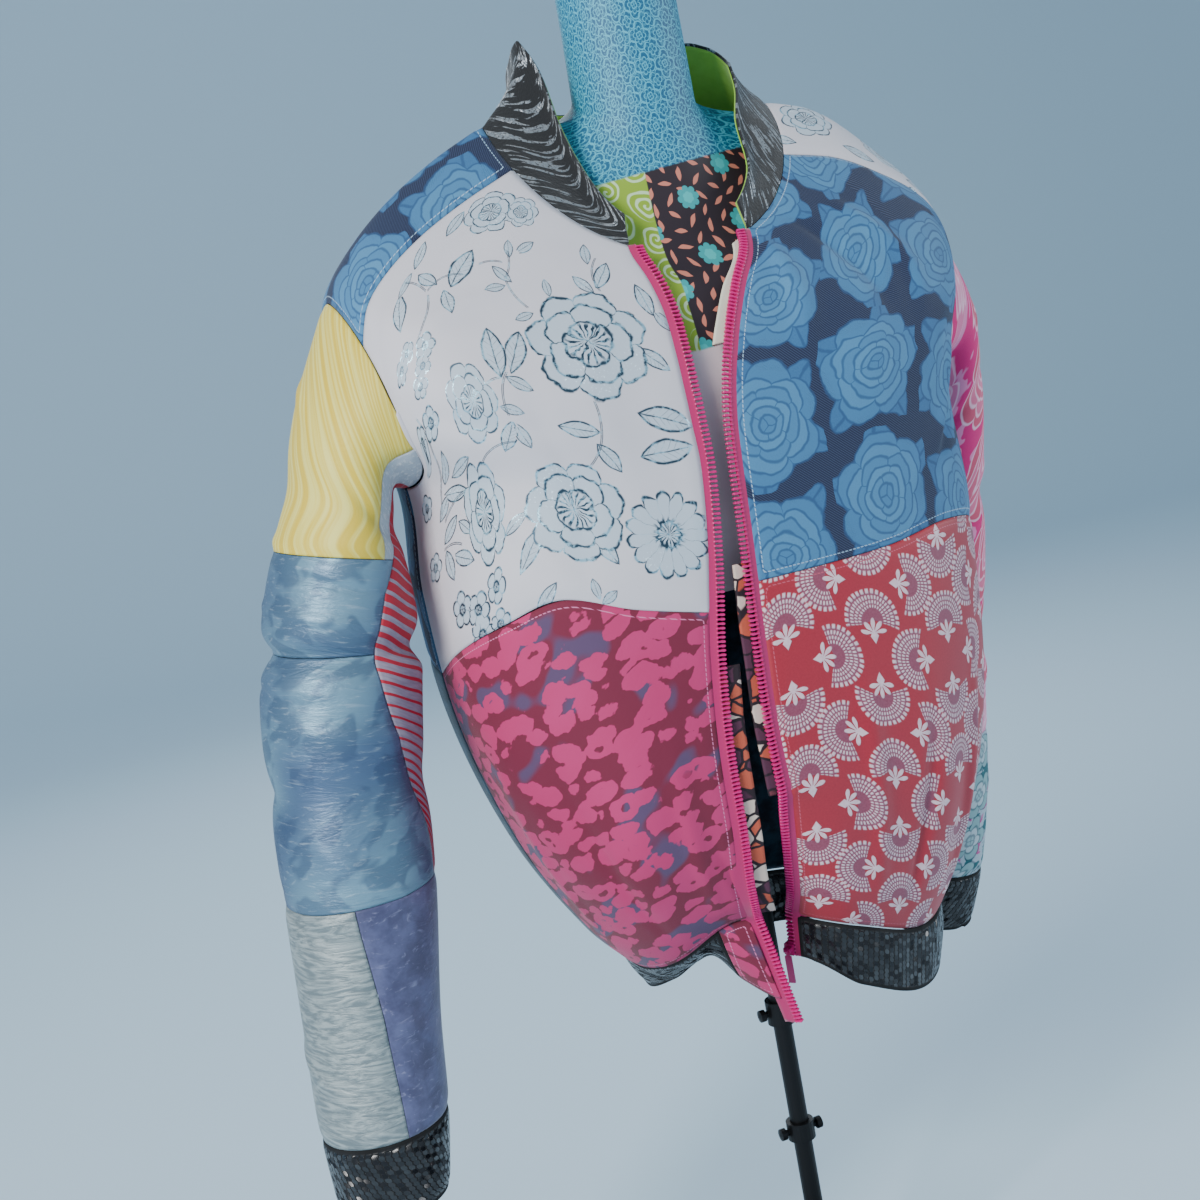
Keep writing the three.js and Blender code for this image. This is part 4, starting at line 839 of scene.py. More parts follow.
def drawn_flowers(finish):
    """Line drawings of flowers, leaves and stems at the places of the tables: the lines and the inside."""
    push = finish.any.node("ShaderNodeTexNoise", Vector=finish.cloth, Scale=110.0, Detail=2.0)

    def shaken(name, amount):
        """A map pushed about by noise as much one way as the other."""
        made = finish.any.node("ShaderNodeVectorMath", {"operation": "MULTIPLY_ADD"},
                               i0=finish.any.out(push, 1), i1=(amount, amount, 0.0), i2=finish.read(name))
        less = finish.any.node("ShaderNodeVectorMath", {"operation": "SUBTRACT"}, i0=finish.any.out(made, 0),
                               i1=(amount / 2, amount / 2, 0.0))
        return finish.any.out(less, 0)

    lines, inside = finish.leaf(shaken("leaf", 0.12))
    share, off = finish.xy(shaken("stem", 0.0))
    lines = lines.most((off.abs() - 0.5).within(0.25, 0.2) * (share - 0.5).within(0.5, 0.01))
    for name, layers, thin in (
            ("small", [(1.0, 5, 0.3, 0.35), (0.3, 6, 0.0, 0.2)], 0.07),
            ("daisy", [(1.0, 15, 0.0, 0.22), (0.3, 9, 0.0, 0.3)], 0.035),
            ("peony", [(1.0, 7, 0.2, 0.22), (0.74, 5, 0.9, 0.24), (0.42, 4, 0.4, 0.2)], 0.026)):
        seen = shaken(name, 0.2)
        drawn, cover, _ = finish.blossom(seen, layers, thin)
        r, angle = finish.polar(seen)
        eye = (angle * 17 + r * 3).sin().ramp(0.1, 0.5) * (r - 0.22).within(0.15, 0.07)
        lines = (lines * (1 - cover)).most(drawn).most(eye * cover)
        inside = inside.most(cover)
    return lines, inside


# The white cloth is smooth, with its flowers drawn in silver-blue foil. The foil's flashes here and there are
# painted highlights: the lines go from dark slate to pale blue by a noise.
white = Finish("white_foil_cloth", roughness=0.62, sheen=0.1)
lines, inside = drawn_flowers(white)
painted_foil_flash = white.noise(130, 4.0, 0.7).ramp(0.47, 0.6)
foil_line = white.mix(painted_foil_flash, (52, 76, 92), (166, 208, 226))
# Painted glints: the flowers' insides turn pale blue where two noises are both high.
painted_glints = white.noise(520, 2.0).ramp(0.6, 0.72) * white.noise(24, 1.0).ramp(0.5, 0.6)
ground = white.mix(white.noise(14, 2.0), (196, 192, 200), (214, 209, 214))
petal = white.mix(painted_glints, (182, 194, 206), (222, 240, 250))
white.paint(white.mix(lines, white.mix(inside, ground, petal), foil_line))
white.set("Metallic", lines * 0.75)
white.set("Roughness", 0.62 - lines * 0.3)
white.weave(1500, 0.00006)

# The leopard print is pink ovals, some open in the middle, on a wine ground with slate patches.
leopard = Finish("leopard_cloth", roughness=0.75, sheen=0.1)
x, y = leopard.xy(leopard.warp(leopard.cloth, 40, 0.012))
spots = leopard.cells(leopard.point(x * 0.56 + y * 0.12, y * 0.84), 88, "F1", 0.7)
off = leopard.any.out(spots, 0)
ragged = off + leopard.noise(150, 2.0) * 0.34 - 0.17
ring = 1 - ragged.ramp(0.55, 0.58)
hollow = 1 - ragged.ramp(0.17, 0.20)
open_spot = leopard.noise(42, 1.0).ramp(0.48, 0.52)
patch = leopard.noise(26, 1.0).ramp(0.54, 0.60)
ground = leopard.mix(patch, (112, 14, 48), (84, 58, 92))
spot = leopard.mix(leopard.noise(16, 2.0), (176, 32, 88), (196, 50, 112))
looks = leopard.mix(ring * (1 - hollow * open_spot), ground, spot)
leopard.paint(leopard.mix(leopard.stitches(), looks, (214, 120, 160)))
leopard.weave(1300, 0.0001)

# The denim is a navy twill with big roses woven into it in paler blues.
DENIM_WIDE, DENIM_HIGH, DENIM_DROP, DENIM_LEFT, DENIM_LOW = 0.083, 0.088, 0.2727, -0.0115, -0.024
DENIM_RADIUS, LEAF_RING, LEAF_REACH = 0.040, 0.86, 0.42
denim = Finish("denim_rose", roughness=0.85, sheen=0.1)
place = denim.warp(denim.warp(denim.cloth, 24, 0.016), 90, 0.004)
x, y, _, _, chance = denim.repeat(place, DENIM_WIDE, DENIM_HIGH, DENIM_DROP, DENIM_LEFT, DENIM_LOW)
seen = denim.turned(x, y, chance * FULL_TURN, DENIM_RADIUS)
r, angle = denim.polar(seen)
drawn, cover, tone = denim.blossom(seen, [(1.0, 6, 0.4, 0.2), (0.80, 5, 1.1, 0.2), (0.62, 5, 0.2, 0.16),
                                          (0.45, 4, 0.7, 0.14), (0.30, 3, 0.1, 0.12),
                                          (0.16, 3, 0.9, 0.1)], 0.02)
tips = (angle * 2.5 + 1.0).cos().abs()
past_leaf = r - LEAF_RING - (tips ** 6.0) * LEAF_REACH
leafy = 1 - past_leaf.ramp(-0.02, 0.02)
leaf_line = past_leaf.within(0.022, 0.02).most((tips - 1.0).within(0.002, 0.002) * leafy)
grain = denim.noise(900, 2.0)
slant_x, slant_y = denim.xy()
twill = ((slant_x * 0.8 + slant_y) * (1150 * np.pi)).sin().ramp(0.3, 0.9)
navy = denim.mix(twill * 0.45, (20, 30, 60), (66, 88, 124))
leaf_blue = denim.mix(grain, (40, 88, 134), (58, 110, 152))
rose_blue = denim.mix(tone, (50, 104, 150), (80, 138, 176))
rose_blue = denim.mix(grain * 0.35, rose_blue, (44, 92, 134))
looks = denim.mix(leafy, navy, leaf_blue)
looks = denim.mix(cover, looks, rose_blue)
looks = denim.mix((leaf_line * (1 - cover)).most(drawn) * 0.75, looks, (30, 70, 112))
denim.paint(denim.mix(denim.stitches(), looks, (158, 184, 206)))
denim.bump(twill * (1 - leafy) + grain * leafy, 0.00016)

# The fan brocade is red with pale fans of woven beads. Upright and hanging fans take turns down one
# column, and fans to the left and to the right down the next, half a step lower.
FAN_WIDE, FAN_HIGH, FAN_RADIUS = 0.065, 0.051, 0.0205
BEAD_ROWS = [[0.88, 1.04, 19, 0.30], [0.70, 0.84, 25, 0.30], [0.55, 0.67, 21, 0.30], [0.41, 0.52, 17, 0.28]]


def fan(finish, place, left, low, quarter):
    """One lattice of fans: the beads' rows, the palm leaf at the foot, and the veil behind them."""
    x, y, column, row, _ = finish.repeat(place, FAN_WIDE, FAN_HIGH, 0.0, left, low)
    turn = ((row + column * quarter) * 0.5).fract() * (2 * np.pi) + quarter * np.pi / 2
    seen = finish.turned(x, y, turn, FAN_RADIUS)
    across, up = finish.xy(seen)
    r, angle = finish.length(seen), across.angle(up)
    beads = None
    for inner, outer, count, wide in BEAD_ROWS:
        middle, half = (inner + outer) / 2, (outer - inner) / 2
        place_in_row = (angle * (count / 3.7)).fract() - 0.5
        bead = (r - middle).within(half * 0.86, 0.03) * place_in_row.within(wide, 0.12)
        beads = bead if beads is None else beads.most(bead)
    span = angle.within(1.85, 0.04)
    foot = up + 0.42
    far, lean = (across * across + foot * foot).root(), across.angle(foot)
    fingers = (lean * 4.5).cos().abs()
    palm = 1 - (far - 0.20 - fingers * 0.30).ramp(-0.04, 0.02)
    palm = palm * fingers.ramp(0.25, 0.45) * lean.within(1.7, 0.1)
    tip = 1 - (across.abs() * 1.6 + (foot + 0.1).abs()).ramp(0.22, 0.28)
    veil = (1 - (r - 0.96).ramp(-0.03, 0.03)) * span
    return (beads * span).most(palm).most(tip), veil


fans = Finish("fan_brocade", roughness=0.55, sheen=0.1)
place = fans.warp(fans.cloth, 40, 0.003)
first, first_veil = fan(fans, place, -0.0165, 0.006, 0)
second, second_veil = fan(fans, place, 0.016, -0.0195, 1)
pattern, veil = first.most(second), first_veil.most(second_veil)
thread = fans.noise(700, 2.0)
ground = fans.mix(thread, (146, 20, 40), (174, 36, 54))
mauve = fans.mix(thread, (112, 40, 66), (150, 84, 106))
pale = fans.mix(fans.noise(300, 2.0), (206, 164, 176), (234, 212, 216))
looks = fans.mix(pattern, fans.mix(veil * 0.85, ground, mauve), pale)
fans.paint(fans.mix(fans.stitches(), looks, (190, 80, 100)))
fans.bump(pattern, 0.0003)

front_piece("right", "right_front_lower", leopard, lower_front("right", 110, 84))
front_piece("right", "right_front_upper", white, upper_front("right", 120, 90), maps=FLOWER_MAPS)
front_piece("left", "left_front_lower", fans, lower_front("left", 110, 90))
front_piece("left", "left_front_upper", denim, upper_front("left", 120, 100))


# The shoulder yokes are short panels over the shoulders, rose denim on the right and the white cloth on
# the left. The back is rose denim above a dark lower panel; the photograph shows neither.
def yoke(side, rows, columns):
    """Phi and v of a yoke, from the armhole's top up to the neck, front seam first."""
    at = np.linspace(0, 6, columns)
    hole = armhole(side, along(HOLE_TOP, at))
    middle = SIDE_SEAM[side]
    neck_phi = np.where(at <= 3, YOKE_NECK[side] + (middle - YOKE_NECK[side]) * at / 3,
                        middle + (YOKE_NECK_BACK[side] - middle) * (at - 3) / 3)
    neck = np.stack([neck_phi, np.ones_like(at)], -1)
    shares = np.linspace(0, 1, rows)
    fore = straight(hole[0], neck[0], shares)
    rear = straight(hole[-1], neck[-1], shares)
    grid = net(hole, neck, fore, rear, shares)
    return grid[..., 0], grid[..., 1]


BACK_SEAM_MIDDLE = 0.45
SIDE_V = {side: float(smooth(CLOTH_SEAM[side], 1.0)[0]) for side in ("left", "right")}


def back_seam(u):
    """v of the seam across the back, from the left side seam to the right one."""
    ends = SIDE_V["left"] * (1 - u) + SIDE_V["right"] * u
    return ends + (BACK_SEAM_MIDDLE - ends) * np.sin(np.pi * u)


def back_upper(rows, columns):
    """Phi and v of the upper back, from the left armhole to the right."""
    u = np.linspace(0, 1, columns)
    bottom = np.stack([90 + 180 * u, back_seam(u)], -1)
    left_top, right_top = armhole("left", -50.0), armhole("right", -50.0) + [360, 0]
    at = u * 18
    left = straight(left_top, [122, 1], np.clip(at / 5, 0, 1))
    neck = straight([122, 1], [238, 1], np.clip((at - 5) / 8, 0, 1))
    right_slope = straight([238, 1], right_top, np.clip((at - 13) / 5, 0, 1))
    top = np.where(at[:, None] <= 5, left, np.where(at[:, None] <= 13, neck, right_slope))
    at = np.linspace(0, 11, rows)
    sides = []
    for side, seam_phi, turned in (("left", 90, 0), ("right", 270, 360)):
        low = straight([seam_phi, SIDE_V[side]], armhole(side, 180.0) + [turned, 0], np.clip(at / 4, 0, 1))
        high = armhole(side, along(HOLE_BACK[::-1], np.clip(at - 4, 0, 7))) + [turned, 0]
        sides.append(np.where(at[:, None] <= 4, low, high))
    grid = net(bottom, top, sides[0], sides[1], along(BACK_RISE, at))
    return grid[..., 0], grid[..., 1]


def back_lower(rows, columns):
    """Phi and v of the lower back, from side seam to side seam."""
    u = np.linspace(0, 1, columns)[None, :]
    w = np.linspace(0, 1, rows)[:, None]
    return 90 + 180 * u + 0 * w, w * back_seam(u)


back_cloth = Finish("back_cloth", roughness=0.5, sheen=0.1)
shade = back_cloth.noise(60, 5.0, 0.65)
back_cloth.paint(back_cloth.mix(shade.ramp(0.35, 0.65), (18, 30, 44), (46, 78, 96)))
back_cloth.bump(shade, 0.0004)
back_cloth.weave(1100, 0.00008)
right_phi, right_v = yoke("right", 60, 48)
cloth_piece("right_yoke", on_body(right_phi[:, ::-1], right_v[:, ::-1]), denim)
cloth_piece("left_yoke", on_body(*yoke("left", 60, 48)), white, maps=FLOWER_MAPS)
cloth_piece("back_upper", on_body(*back_upper(110, 150)), denim)
cloth_piece("back_lower", on_body(*back_lower(80, 150)), back_cloth)


# The sleeves hang from the armholes as bent tubes of cloth. The right one is sewn of seven cloths and a
# cuff, with a deep fold above the elbow; the left one, of a rose print, a teal print and a cuff.
# s, x, y, z, wide, deep, lean, pitch
SLEEVE = {
    "right": [
        [0.10, -239, -3, 738, 41, 62, 55, 0],
        [0.20, -253, -4, 685, 40, 58, 23, 0],
        [0.30, -262, -6, 648, 48, 56, 9, 0],
        [0.37, -269, -8, 611, 53, 55, 7, 0],
        [0.474, -280, -9, 550, 53, 54, 6, 0],
        [0.64, -290, -12, 452, 51, 52, 6, 0],
        [0.795, -301, -15, 361, 46, 47, 5, 0],
        [0.90, -307, -18, 298, 44, 45, 5, 0],
        [1.00, -312, -20, 240, 38, 39, 5, 0]],
    "left": [
        [0.10, 228, 26, 740, 34, 60, 52, 6],
        [0.20, 237, 50, 690, 36, 56, 24, 14],
        [0.30, 241, 72, 645, 40, 54, 10, 18],
        [0.45, 243, 98, 560, 42, 53, 4, 16],
        [0.60, 243, 122, 470, 42, 52, 2, 12],
        [0.78, 242, 142, 362, 42, 49, 0, 10],
        [0.92, 236, 155, 282, 39, 44, 0, 8],
        [1.00, 229, 162, 232, 33, 37, 0, 8]]}
# s, wide, deep
SLEEVE_FOLDS = {"right": [[0.37, 0.018, 8], [0.17, 0.025, 3], [0.52, 0.03, 3]],
                "left": [[0.36, 0.03, 4], [0.56, 0.03, 3]]}
# theta and s from and to, half width and rise in millimetres, of what only shows close to
SLEEVE_CREASES = {
    "right": [
        [-60, 0.05, 60, 0.14, 5, 1.6], [10, 0.10, 150, 0.20, 6, -2.0], [-90, 0.20, 30, 0.24, 6, 1.6],
        [20, 0.26, 120, 0.30, 5, -2.0], [-20, 0.31, 90, 0.33, 4, 2.2], [60, 0.35, 170, 0.40, 5, 2.4],
        [-40, 0.40, 70, 0.42, 4, -1.8], [30, 0.44, 150, 0.47, 6, 1.8], [-70, 0.50, 40, 0.54, 7, -1.6],
        [40, 0.56, 130, 0.66, 7, 1.8], [-30, 0.62, 80, 0.70, 8, -1.6], [60, 0.74, 150, 0.82, 7, 1.6],
        [-40, 0.80, 60, 0.86, 6, 1.6], [-160, 0.3, -80, 0.4, 7, 2.0], [-150, 0.6, -90, 0.7, 8, 2.0]],
    "left": [
        [-50, 0.06, 70, 0.12, 6, 2.0], [20, 0.16, 150, 0.22, 6, -2.0], [-60, 0.28, 60, 0.34, 6, 2.2],
        [40, 0.38, 160, 0.42, 6, 2.2], [-40, 0.46, 60, 0.52, 7, -2.0], [0, 0.60, 120, 0.66, 7, 2.0],
        [-60, 0.74, 60, 0.80, 6, 1.8], [60, 0.84, 160, 0.88, 6, -1.6], [-160, 0.4, -80, 0.5, 7, 2.2]]}
SLEEVE_STEPS = (0.87, 590)  # millimetres of cloth for a degree of theta, and for the whole sleeve


def sleeve_point(side, theta, s):
    """A point of a sleeve: a smooth curve through the same theta of the armhole and of every ring."""
    theta, s = np.broadcast_arrays(np.asarray(theta, float), np.asarray(s, float))
    outward = -1 if side == "right" else 1
    rows = np.array(SLEEVE[side], float)
    keys = np.concatenate([[0.0], rows[:, 0]])
    turn, flat = np.radians(theta.ravel()), s.ravel()
    rings = [body_point(*np.moveaxis(armhole(side, theta.ravel()), -1, 0)) * 1000]
    for _, x, y, z, wide, deep, lean, pitch in rows:
        lean, pitch = np.radians(lean), np.radians(pitch)
        out = np.array([outward * np.cos(lean), 0, np.sin(lean)])
        ahead = np.array([0, -np.cos(pitch), -np.sin(pitch)])
        rings.append(np.array([x, y, z]) + wide * np.cos(turn)[:, None] * out
                     + deep * np.sin(turn)[:, None] * ahead)
    points = through(keys, np.stack(rings), flat, [np.arange(len(flat))])
    groove = sum(deep * np.exp(-(((flat - middle) / wide) ** 2)) for middle, wide, deep in SLEEVE_FOLDS[side])
    points[:, 0] -= groove * outward * np.cos(turn)
    points[:, 1] += groove * np.sin(turn)
    return (points / 1000).reshape(theta.shape + (3,))


def sleeve_out(side, theta, s):
    """A sleeve's outward direction."""
    out = way_out(lambda a, b: sleeve_point(side, a, b), theta, np.clip(s, 0.01, 0.99), 2.0, 0.01)
    return out if side == "left" else -out


# s, back, front, gusset, round: the seams that run down the right sleeve, as angles.
RIGHT_LINES = [
    [0.00, -172, 115, 172, 188],
    [0.10, -160, 118, 152, 200],
    [0.23, -140, 116, 128, 220],
    [0.37, -122, 94, 104, 238],
    [0.46, -130, 84, 118, 230],
    [0.60, -172, 74, 154, 188],
    [0.64, -178, 72, 158, 182],
    [0.78, -160, 88, 168, 200],
    [1.00, -150, 104, 172, 210]]
SLANT = [[0, 0], [0.23, 0.004], [0.37, 0], [0.64, 0.01], [1, 0.008]]
BACK_LINE, FRONT_LINE, GUSSET_LINE, ROUND_LINE = range(4)
BACK_COLUMN_SHARE = 57 / 287


def sleeve_place(theta, base):
    """s of a seam that runs round the sleeve: the outer side lies a little further down."""
    return np.clip(base + smooth(SLANT, base)[..., 0] * np.cos(np.radians(theta)), 0, 1.02)


def sleeve_points(side, theta, base, closed=False):
    """Points of a sleeve's piece, with its creases, and sunk a little beside its seams."""
    s = sleeve_place(theta, base)
    points = sleeve_point(side, theta, s)
    out = sleeve_out(side, theta, s)
    height = crease_height(turned_from_front(theta), s, SLEEVE_STEPS, SLEEVE_CREASES[side])
    rise = height / 1000 - seam_dip(points, closed)
    points = points + out * rise[..., None]
    if closed:
        points[0] += SEAM_GAP * unit(points[1] - points[0])
        points[-1] += SEAM_GAP * unit(points[-2] - points[-1])
        return points
    return toward(points)


def right_piece(name, finish, low, high, first, last, rows, columns):
    """A cloth of the right sleeve between two rounds and two of the long seams. A long seam is a column of
    RIGHT_LINES, or the one between the silver and the violet at the back, a share of the way from the back
    line to the front one, reached from either side."""
    base = np.linspace(low, high, rows)[:, None]
    lines = smooth(RIGHT_LINES, base[:, 0])

    def seam(which):
        """Theta of one of the long seams."""
        if which == "back_column":
            return lines[:, BACK_LINE] + (lines[:, FRONT_LINE] - lines[:, BACK_LINE]) * BACK_COLUMN_SHARE
        if which == "back_round":
            return seam("back_column") + 360
        return lines[:, which]

    share = np.linspace(0, 1, columns)[None, :]
    theta = seam(first)[:, None] * (1 - share) + seam(last)[:, None] * share
    points = sleeve_points("right", theta, base + 0 * share)
    cloth_piece(name, points[:, ::-1], finish, cloth_place(points)[:, ::-1])


def tube_piece(name, side, finish, low, high, rows, columns):
    """A piece that goes all round a sleeve."""
    theta = np.linspace(-180, 180, columns, endpoint=False)[None, :]
    base = np.linspace(low, high, rows)[:, None]
    points = sleeve_points(side, theta + 0 * base, base + 0 * theta, closed=True)
    places = cloth_place(points)
    if side == "right":
        points, places = points[::-1], places[::-1]
    cloth_piece(name, points, finish, places, closed=True)


YELLOW_END, ELBOW, FOIL_END, RIGHT_CUFF, ROSE_END, LEFT_CUFF = 0.233, 0.37, 0.64, 0.907, 0.7, 0.92

# Yellow cloth with paler streaks down it.
yellow = Finish("yellow_cloth", roughness=0.55, sheen=0.1)
x, y = yellow.xy()
streak = yellow.noise(150, 3.0, at=yellow.point(x, y * 0.04)).ramp(0.42, 0.6)
fine = yellow.noise(700, 2.0, at=yellow.point(x, y * 0.02))
yellow.paint(yellow.mix(streak * 0.75 + fine * 0.25, (214, 180, 26), (232, 222, 120)))
yellow.weave(1000, 0.0001)

# Greyish-white satin with faint flecks: a white cloth whose grey is partly painted shade, as the strip lies
# in shadow at the sleeve's inner front.
strip_cloth = Finish("white_strip", roughness=0.5)
fleck = strip_cloth.noise(240, 4.0, 0.7).ramp(0.5, 0.62)
strip_cloth.paint(strip_cloth.mix(fleck, (158, 168, 180), (196, 200, 206)))
strip_cloth.bump(fleck, 0.0002)


def crinkled(finish, wide, high, depth):
    """Small wrinkles of pressed foil, longer one way than the other."""
    x, y = finish.xy()
    stretched = finish.warp(finish.point(x * wide, y * high), 50, 0.02)
    wrinkle = finish.noise(260, 4.0, 0.62, at=stretched)
    finish.bump(wrinkle, depth)
    return wrinkle


# Blue foil-faced cloth, crinkled, with a soft darker print of leaves. Broad patches of painted light and
# shade lie over it, and the tops of its crinkles are painted pale as painted highlights.
foil = Finish("blue_foil", roughness=0.42, metallic=0.35)
wrinkle = crinkled(foil, 0.35, 1.5, 0.0008)
shadow = foil.noise(34, 2.0, 0.6, at=foil.warp(foil.cloth, 30, 0.03)).ramp(0.46, 0.56)
painted_light_and_shade = foil.noise(9, 1.0).ramp(0.35, 0.65)
base = foil.mix(painted_light_and_shade, (74, 96, 128), (112, 148, 168))
base = foil.mix(shadow * 0.5, base, (50, 68, 100))
# Painted highlights: the crinkles' tops are painted pale.
foil.paint(foil.mix(wrinkle.ramp(0.54, 0.74) * 0.45, base, (166, 184, 200)))
foil.set("Roughness", wrinkle * 0.3 + 0.28)

# The gusset is red with wavy silver-grey stripes that come in groups.
gusset = Finish("gusset_stripe", roughness=0.6)
x, y = gusset.xy()
height = y + (x * 60).sin() * 0.0022 + (x * 150 + 1.0).sin() * 0.0007
share = 0.40 - (height * 21 - 0.7).cos() * 0.36
stripe = (height * 125).fract()
bars = (stripe - 0.5).abs().under(share * 0.5)
satin = gusset.noise(500, 2.0, at=gusset.point(x * 0.2, y))
pale = gusset.mix(satin, (112, 98, 118), (168, 156, 172))
gusset.paint(gusset.mix(bars, gusset.mix(satin, (160, 12, 38), (184, 26, 52)), pale))
gusset.bump(bars, 0.0002)

# Silver-grey metallic cloth with fine crinkles across; the colour follows the crinkles, with painted shade in
# their hollows and painted highlights on their tops.
silver = Finish("silver_crinkle", roughness=0.4, metallic=0.3)
wrinkle = crinkled(silver, 0.3, 1.5, 0.0010)
silver.paint(silver.mix(wrinkle.ramp(0.36, 0.66), (112, 124, 128), (164, 174, 174)))
silver.set("Roughness", wrinkle * 0.3 + 0.3)

# Violet-blue brushed cloth with a worn, mottled face, and painted highlights on the tops of its crinkles.
violet = Finish("violet_cloth", roughness=0.6, sheen=0.3)
wrinkle = crinkled(violet, 0.5, 1.0, 0.0006)
mottle = violet.noise(34, 4.0, 0.65).ramp(0.36, 0.64)
base = violet.mix(mottle, (58, 60, 96), (86, 90, 130))
violet.paint(violet.mix(wrinkle.ramp(0.56, 0.72) * 0.6, base, (138, 140, 176)))

# Small black sequins sewn in overlapping rows: each tips its own way, so only a few flash.
SEQUIN_WIDE, SEQUIN_HIGH = 0.0046, 0.0036
sequins = Finish("sequin_black", roughness=0.9)
x, y, _, _, chance = sequins.repeat(sequins.cloth, SEQUIN_WIDE, SEQUIN_HIGH, 0.5)
disc = (1 - ((x * x + y * y).root() * 1000).ramp(2.0, 2.2)) * sequins.rim().ramp(0.002, 0.004)
tip = x * ((chance * 40).sin() * 500) + y * ((chance * 70).cos() * 500)
sequins.bump(tip * disc, 0.0009)
worn = sequins.noise(40, 1.0).ramp(0.4, 0.6)
sequins.set("Roughness", 0.85 - disc * 0.72 + worn * 0.12)
sequins.paint(sequins.mix(disc, (6, 6, 8), (22, 22, 26)))

# Pink print of big roses, in red and pale pink.
ROSE_WIDE, ROSE_HIGH, ROSE_RADIUS = 0.078, 0.080, 0.038
rose = Finish("rose_print", roughness=0.75)
x, y, _, _, chance = rose.repeat(rose.warp(rose.cloth, 30, 0.012), ROSE_WIDE, ROSE_HIGH, 0.5)
seen = rose.turned(x, y, chance * FULL_TURN, ROSE_RADIUS)
drawn, cover, tone = rose.blossom(seen, [(1.0, 6, 0.4, 0.2), (0.78, 5, 1.1, 0.2), (0.58, 5, 0.2, 0.16),
                                         (0.40, 4, 0.7, 0.14), (0.24, 3, 0.1, 0.12)], 0.024)
reds = rose.mix(tone, (190, 16, 48), (224, 120, 156))
pinks = rose.mix(tone, (214, 70, 130), (232, 166, 192))
petals = rose.mix(chance.under(0.5), reds, pinks)
stray = rose.noise(50, 2.0).ramp(0.56, 0.6) * (1 - cover)
looks = rose.mix(cover, rose.mix(stray, (214, 18, 112), (224, 130, 172)), petals)
rose.paint(rose.mix(drawn * 0.8, looks, (240, 196, 214)))
rose.weave(1000, 0.0001)

# Teal print of leaves in green, grey and pink.
BLOOM_WIDE, BLOOM_HIGH, BLOOM_RADIUS = 0.046, 0.040, 0.021
teal = Finish("teal_print", roughness=0.75)
place = teal.warp(teal.cloth, 40, 0.012)
x, y, _, _, chance = teal.repeat(place, BLOOM_WIDE, BLOOM_HIGH, 0.5)
drawn, cover, tone = teal.blossom(teal.turned(x, y, chance * FULL_TURN, BLOOM_RADIUS),
                                  [(1.0, 5, 0.2, 0.5), (0.6, 5, 0.8, 0.4), (0.26, 4, 0.0, 0.3)], 0.05)
wash = teal.noise(60, 3.0, 0.6, at=place)
ground = teal.mix(wash.ramp(0.44, 0.5), (24, 96, 104), (164, 180, 192))
ground = teal.mix(wash.ramp(0.58, 0.62), ground, (190, 74, 140))
bloom = teal.mix(tone, (60, 140, 140), (196, 206, 216))
teal.paint(teal.mix(drawn * 0.6, teal.mix(cover, ground, bloom), (16, 62, 78)))
teal.weave(1000, 0.0001)

right_piece("right_sleeve_yellow", yellow, 0, YELLOW_END, BACK_LINE, FRONT_LINE, 60, 90)
right_piece("right_sleeve_white", strip_cloth, 0, YELLOW_END, FRONT_LINE, GUSSET_LINE, 50, 24)
right_piece("right_sleeve_foil_upper", foil, YELLOW_END, ELBOW, BACK_LINE, GUSSET_LINE, 50, 130)
right_piece("right_sleeve_gusset", gusset, 0, FOIL_END, GUSSET_LINE, ROUND_LINE, 150, 50)
right_piece("right_sleeve_foil_lower", foil, ELBOW, FOIL_END, BACK_LINE, GUSSET_LINE, 90, 130)
right_piece("right_sleeve_silver", silver, FOIL_END, RIGHT_CUFF, "back_column", FRONT_LINE, 80, 70)
right_piece("right_sleeve_violet", violet, FOIL_END, RIGHT_CUFF, FRONT_LINE, "back_round", 80, 80)
tube_piece("right_cuff", "right", sequins, RIGHT_CUFF, 1.0, 40, 160)
tube_piece("left_sleeve_rose", "left", rose, 0, ROSE_END, 190, 140)
tube_piece("left_sleeve_teal", "left", teal, ROSE_END, LEFT_CUFF, 80, 140)
tube_piece("left_cuff", "left", sequins, LEFT_CUFF, 1.0, 36, 150)


# The collar is one strip of black velvet with silver foil strokes, sewn round the neck and standing
# folded open, higher at the shoulders. A lime lining shows inside it.
# phi, height, lean
COLLAR = [
    [-338, 18, -4], [-322, 26, -12], [-300, 38, -26], [-270, 30, -22], [-245, 48, -18], [-225, 56, -10],
    [-205, 40, -4], [-180, 24, 0], [-150, 30, -6], [-115, 46, -26], [-90, 52, -36], [-75, 54, -40],
    [-60, 44, -36], [-40, 30, -22], [-23, 19, -4]]
COLLAR_START, COLLAR_END = -337, -25
LINING_DEPTH = 0.0021


def collar_point(phi, t):
    """A point of the collar: its height rises with t, and its top leans out from the neck seam."""
    height, lean = np.moveaxis(smooth(COLLAR, phi), -1, 0)
    lean = lean * np.sin(t * np.pi / 2)
    side, ahead = np.sin(np.radians(phi)), np.cos(np.radians(phi))
    rise = height * (0.35 * t * t + 0.65 * t)
    return body_point(phi, 1.0) + np.stack([lean * side, -lean * ahead, rise], -1) / 1000


def collar_grid(low, high, rows, columns, depth):
    """Points of the collar, or of its lining a depth inside it."""
    phi, t = np.meshgrid(np.linspace(COLLAR_START, COLLAR_END, columns), np.linspace(low, high, rows))
    out = way_out(collar_point, phi, np.clip(t, 0.05, 0.95), 1.0, 0.05)
    swell = 0.0012 * np.sin(np.pi * t) + 0.0007 * np.sin(np.radians(phi * 11 + 40 * t)) * t
    swell -= SEAM_DIP * np.exp(-((t * 10) ** 2))
    return toward(collar_point(phi, t) + out * (swell - depth)[..., None])


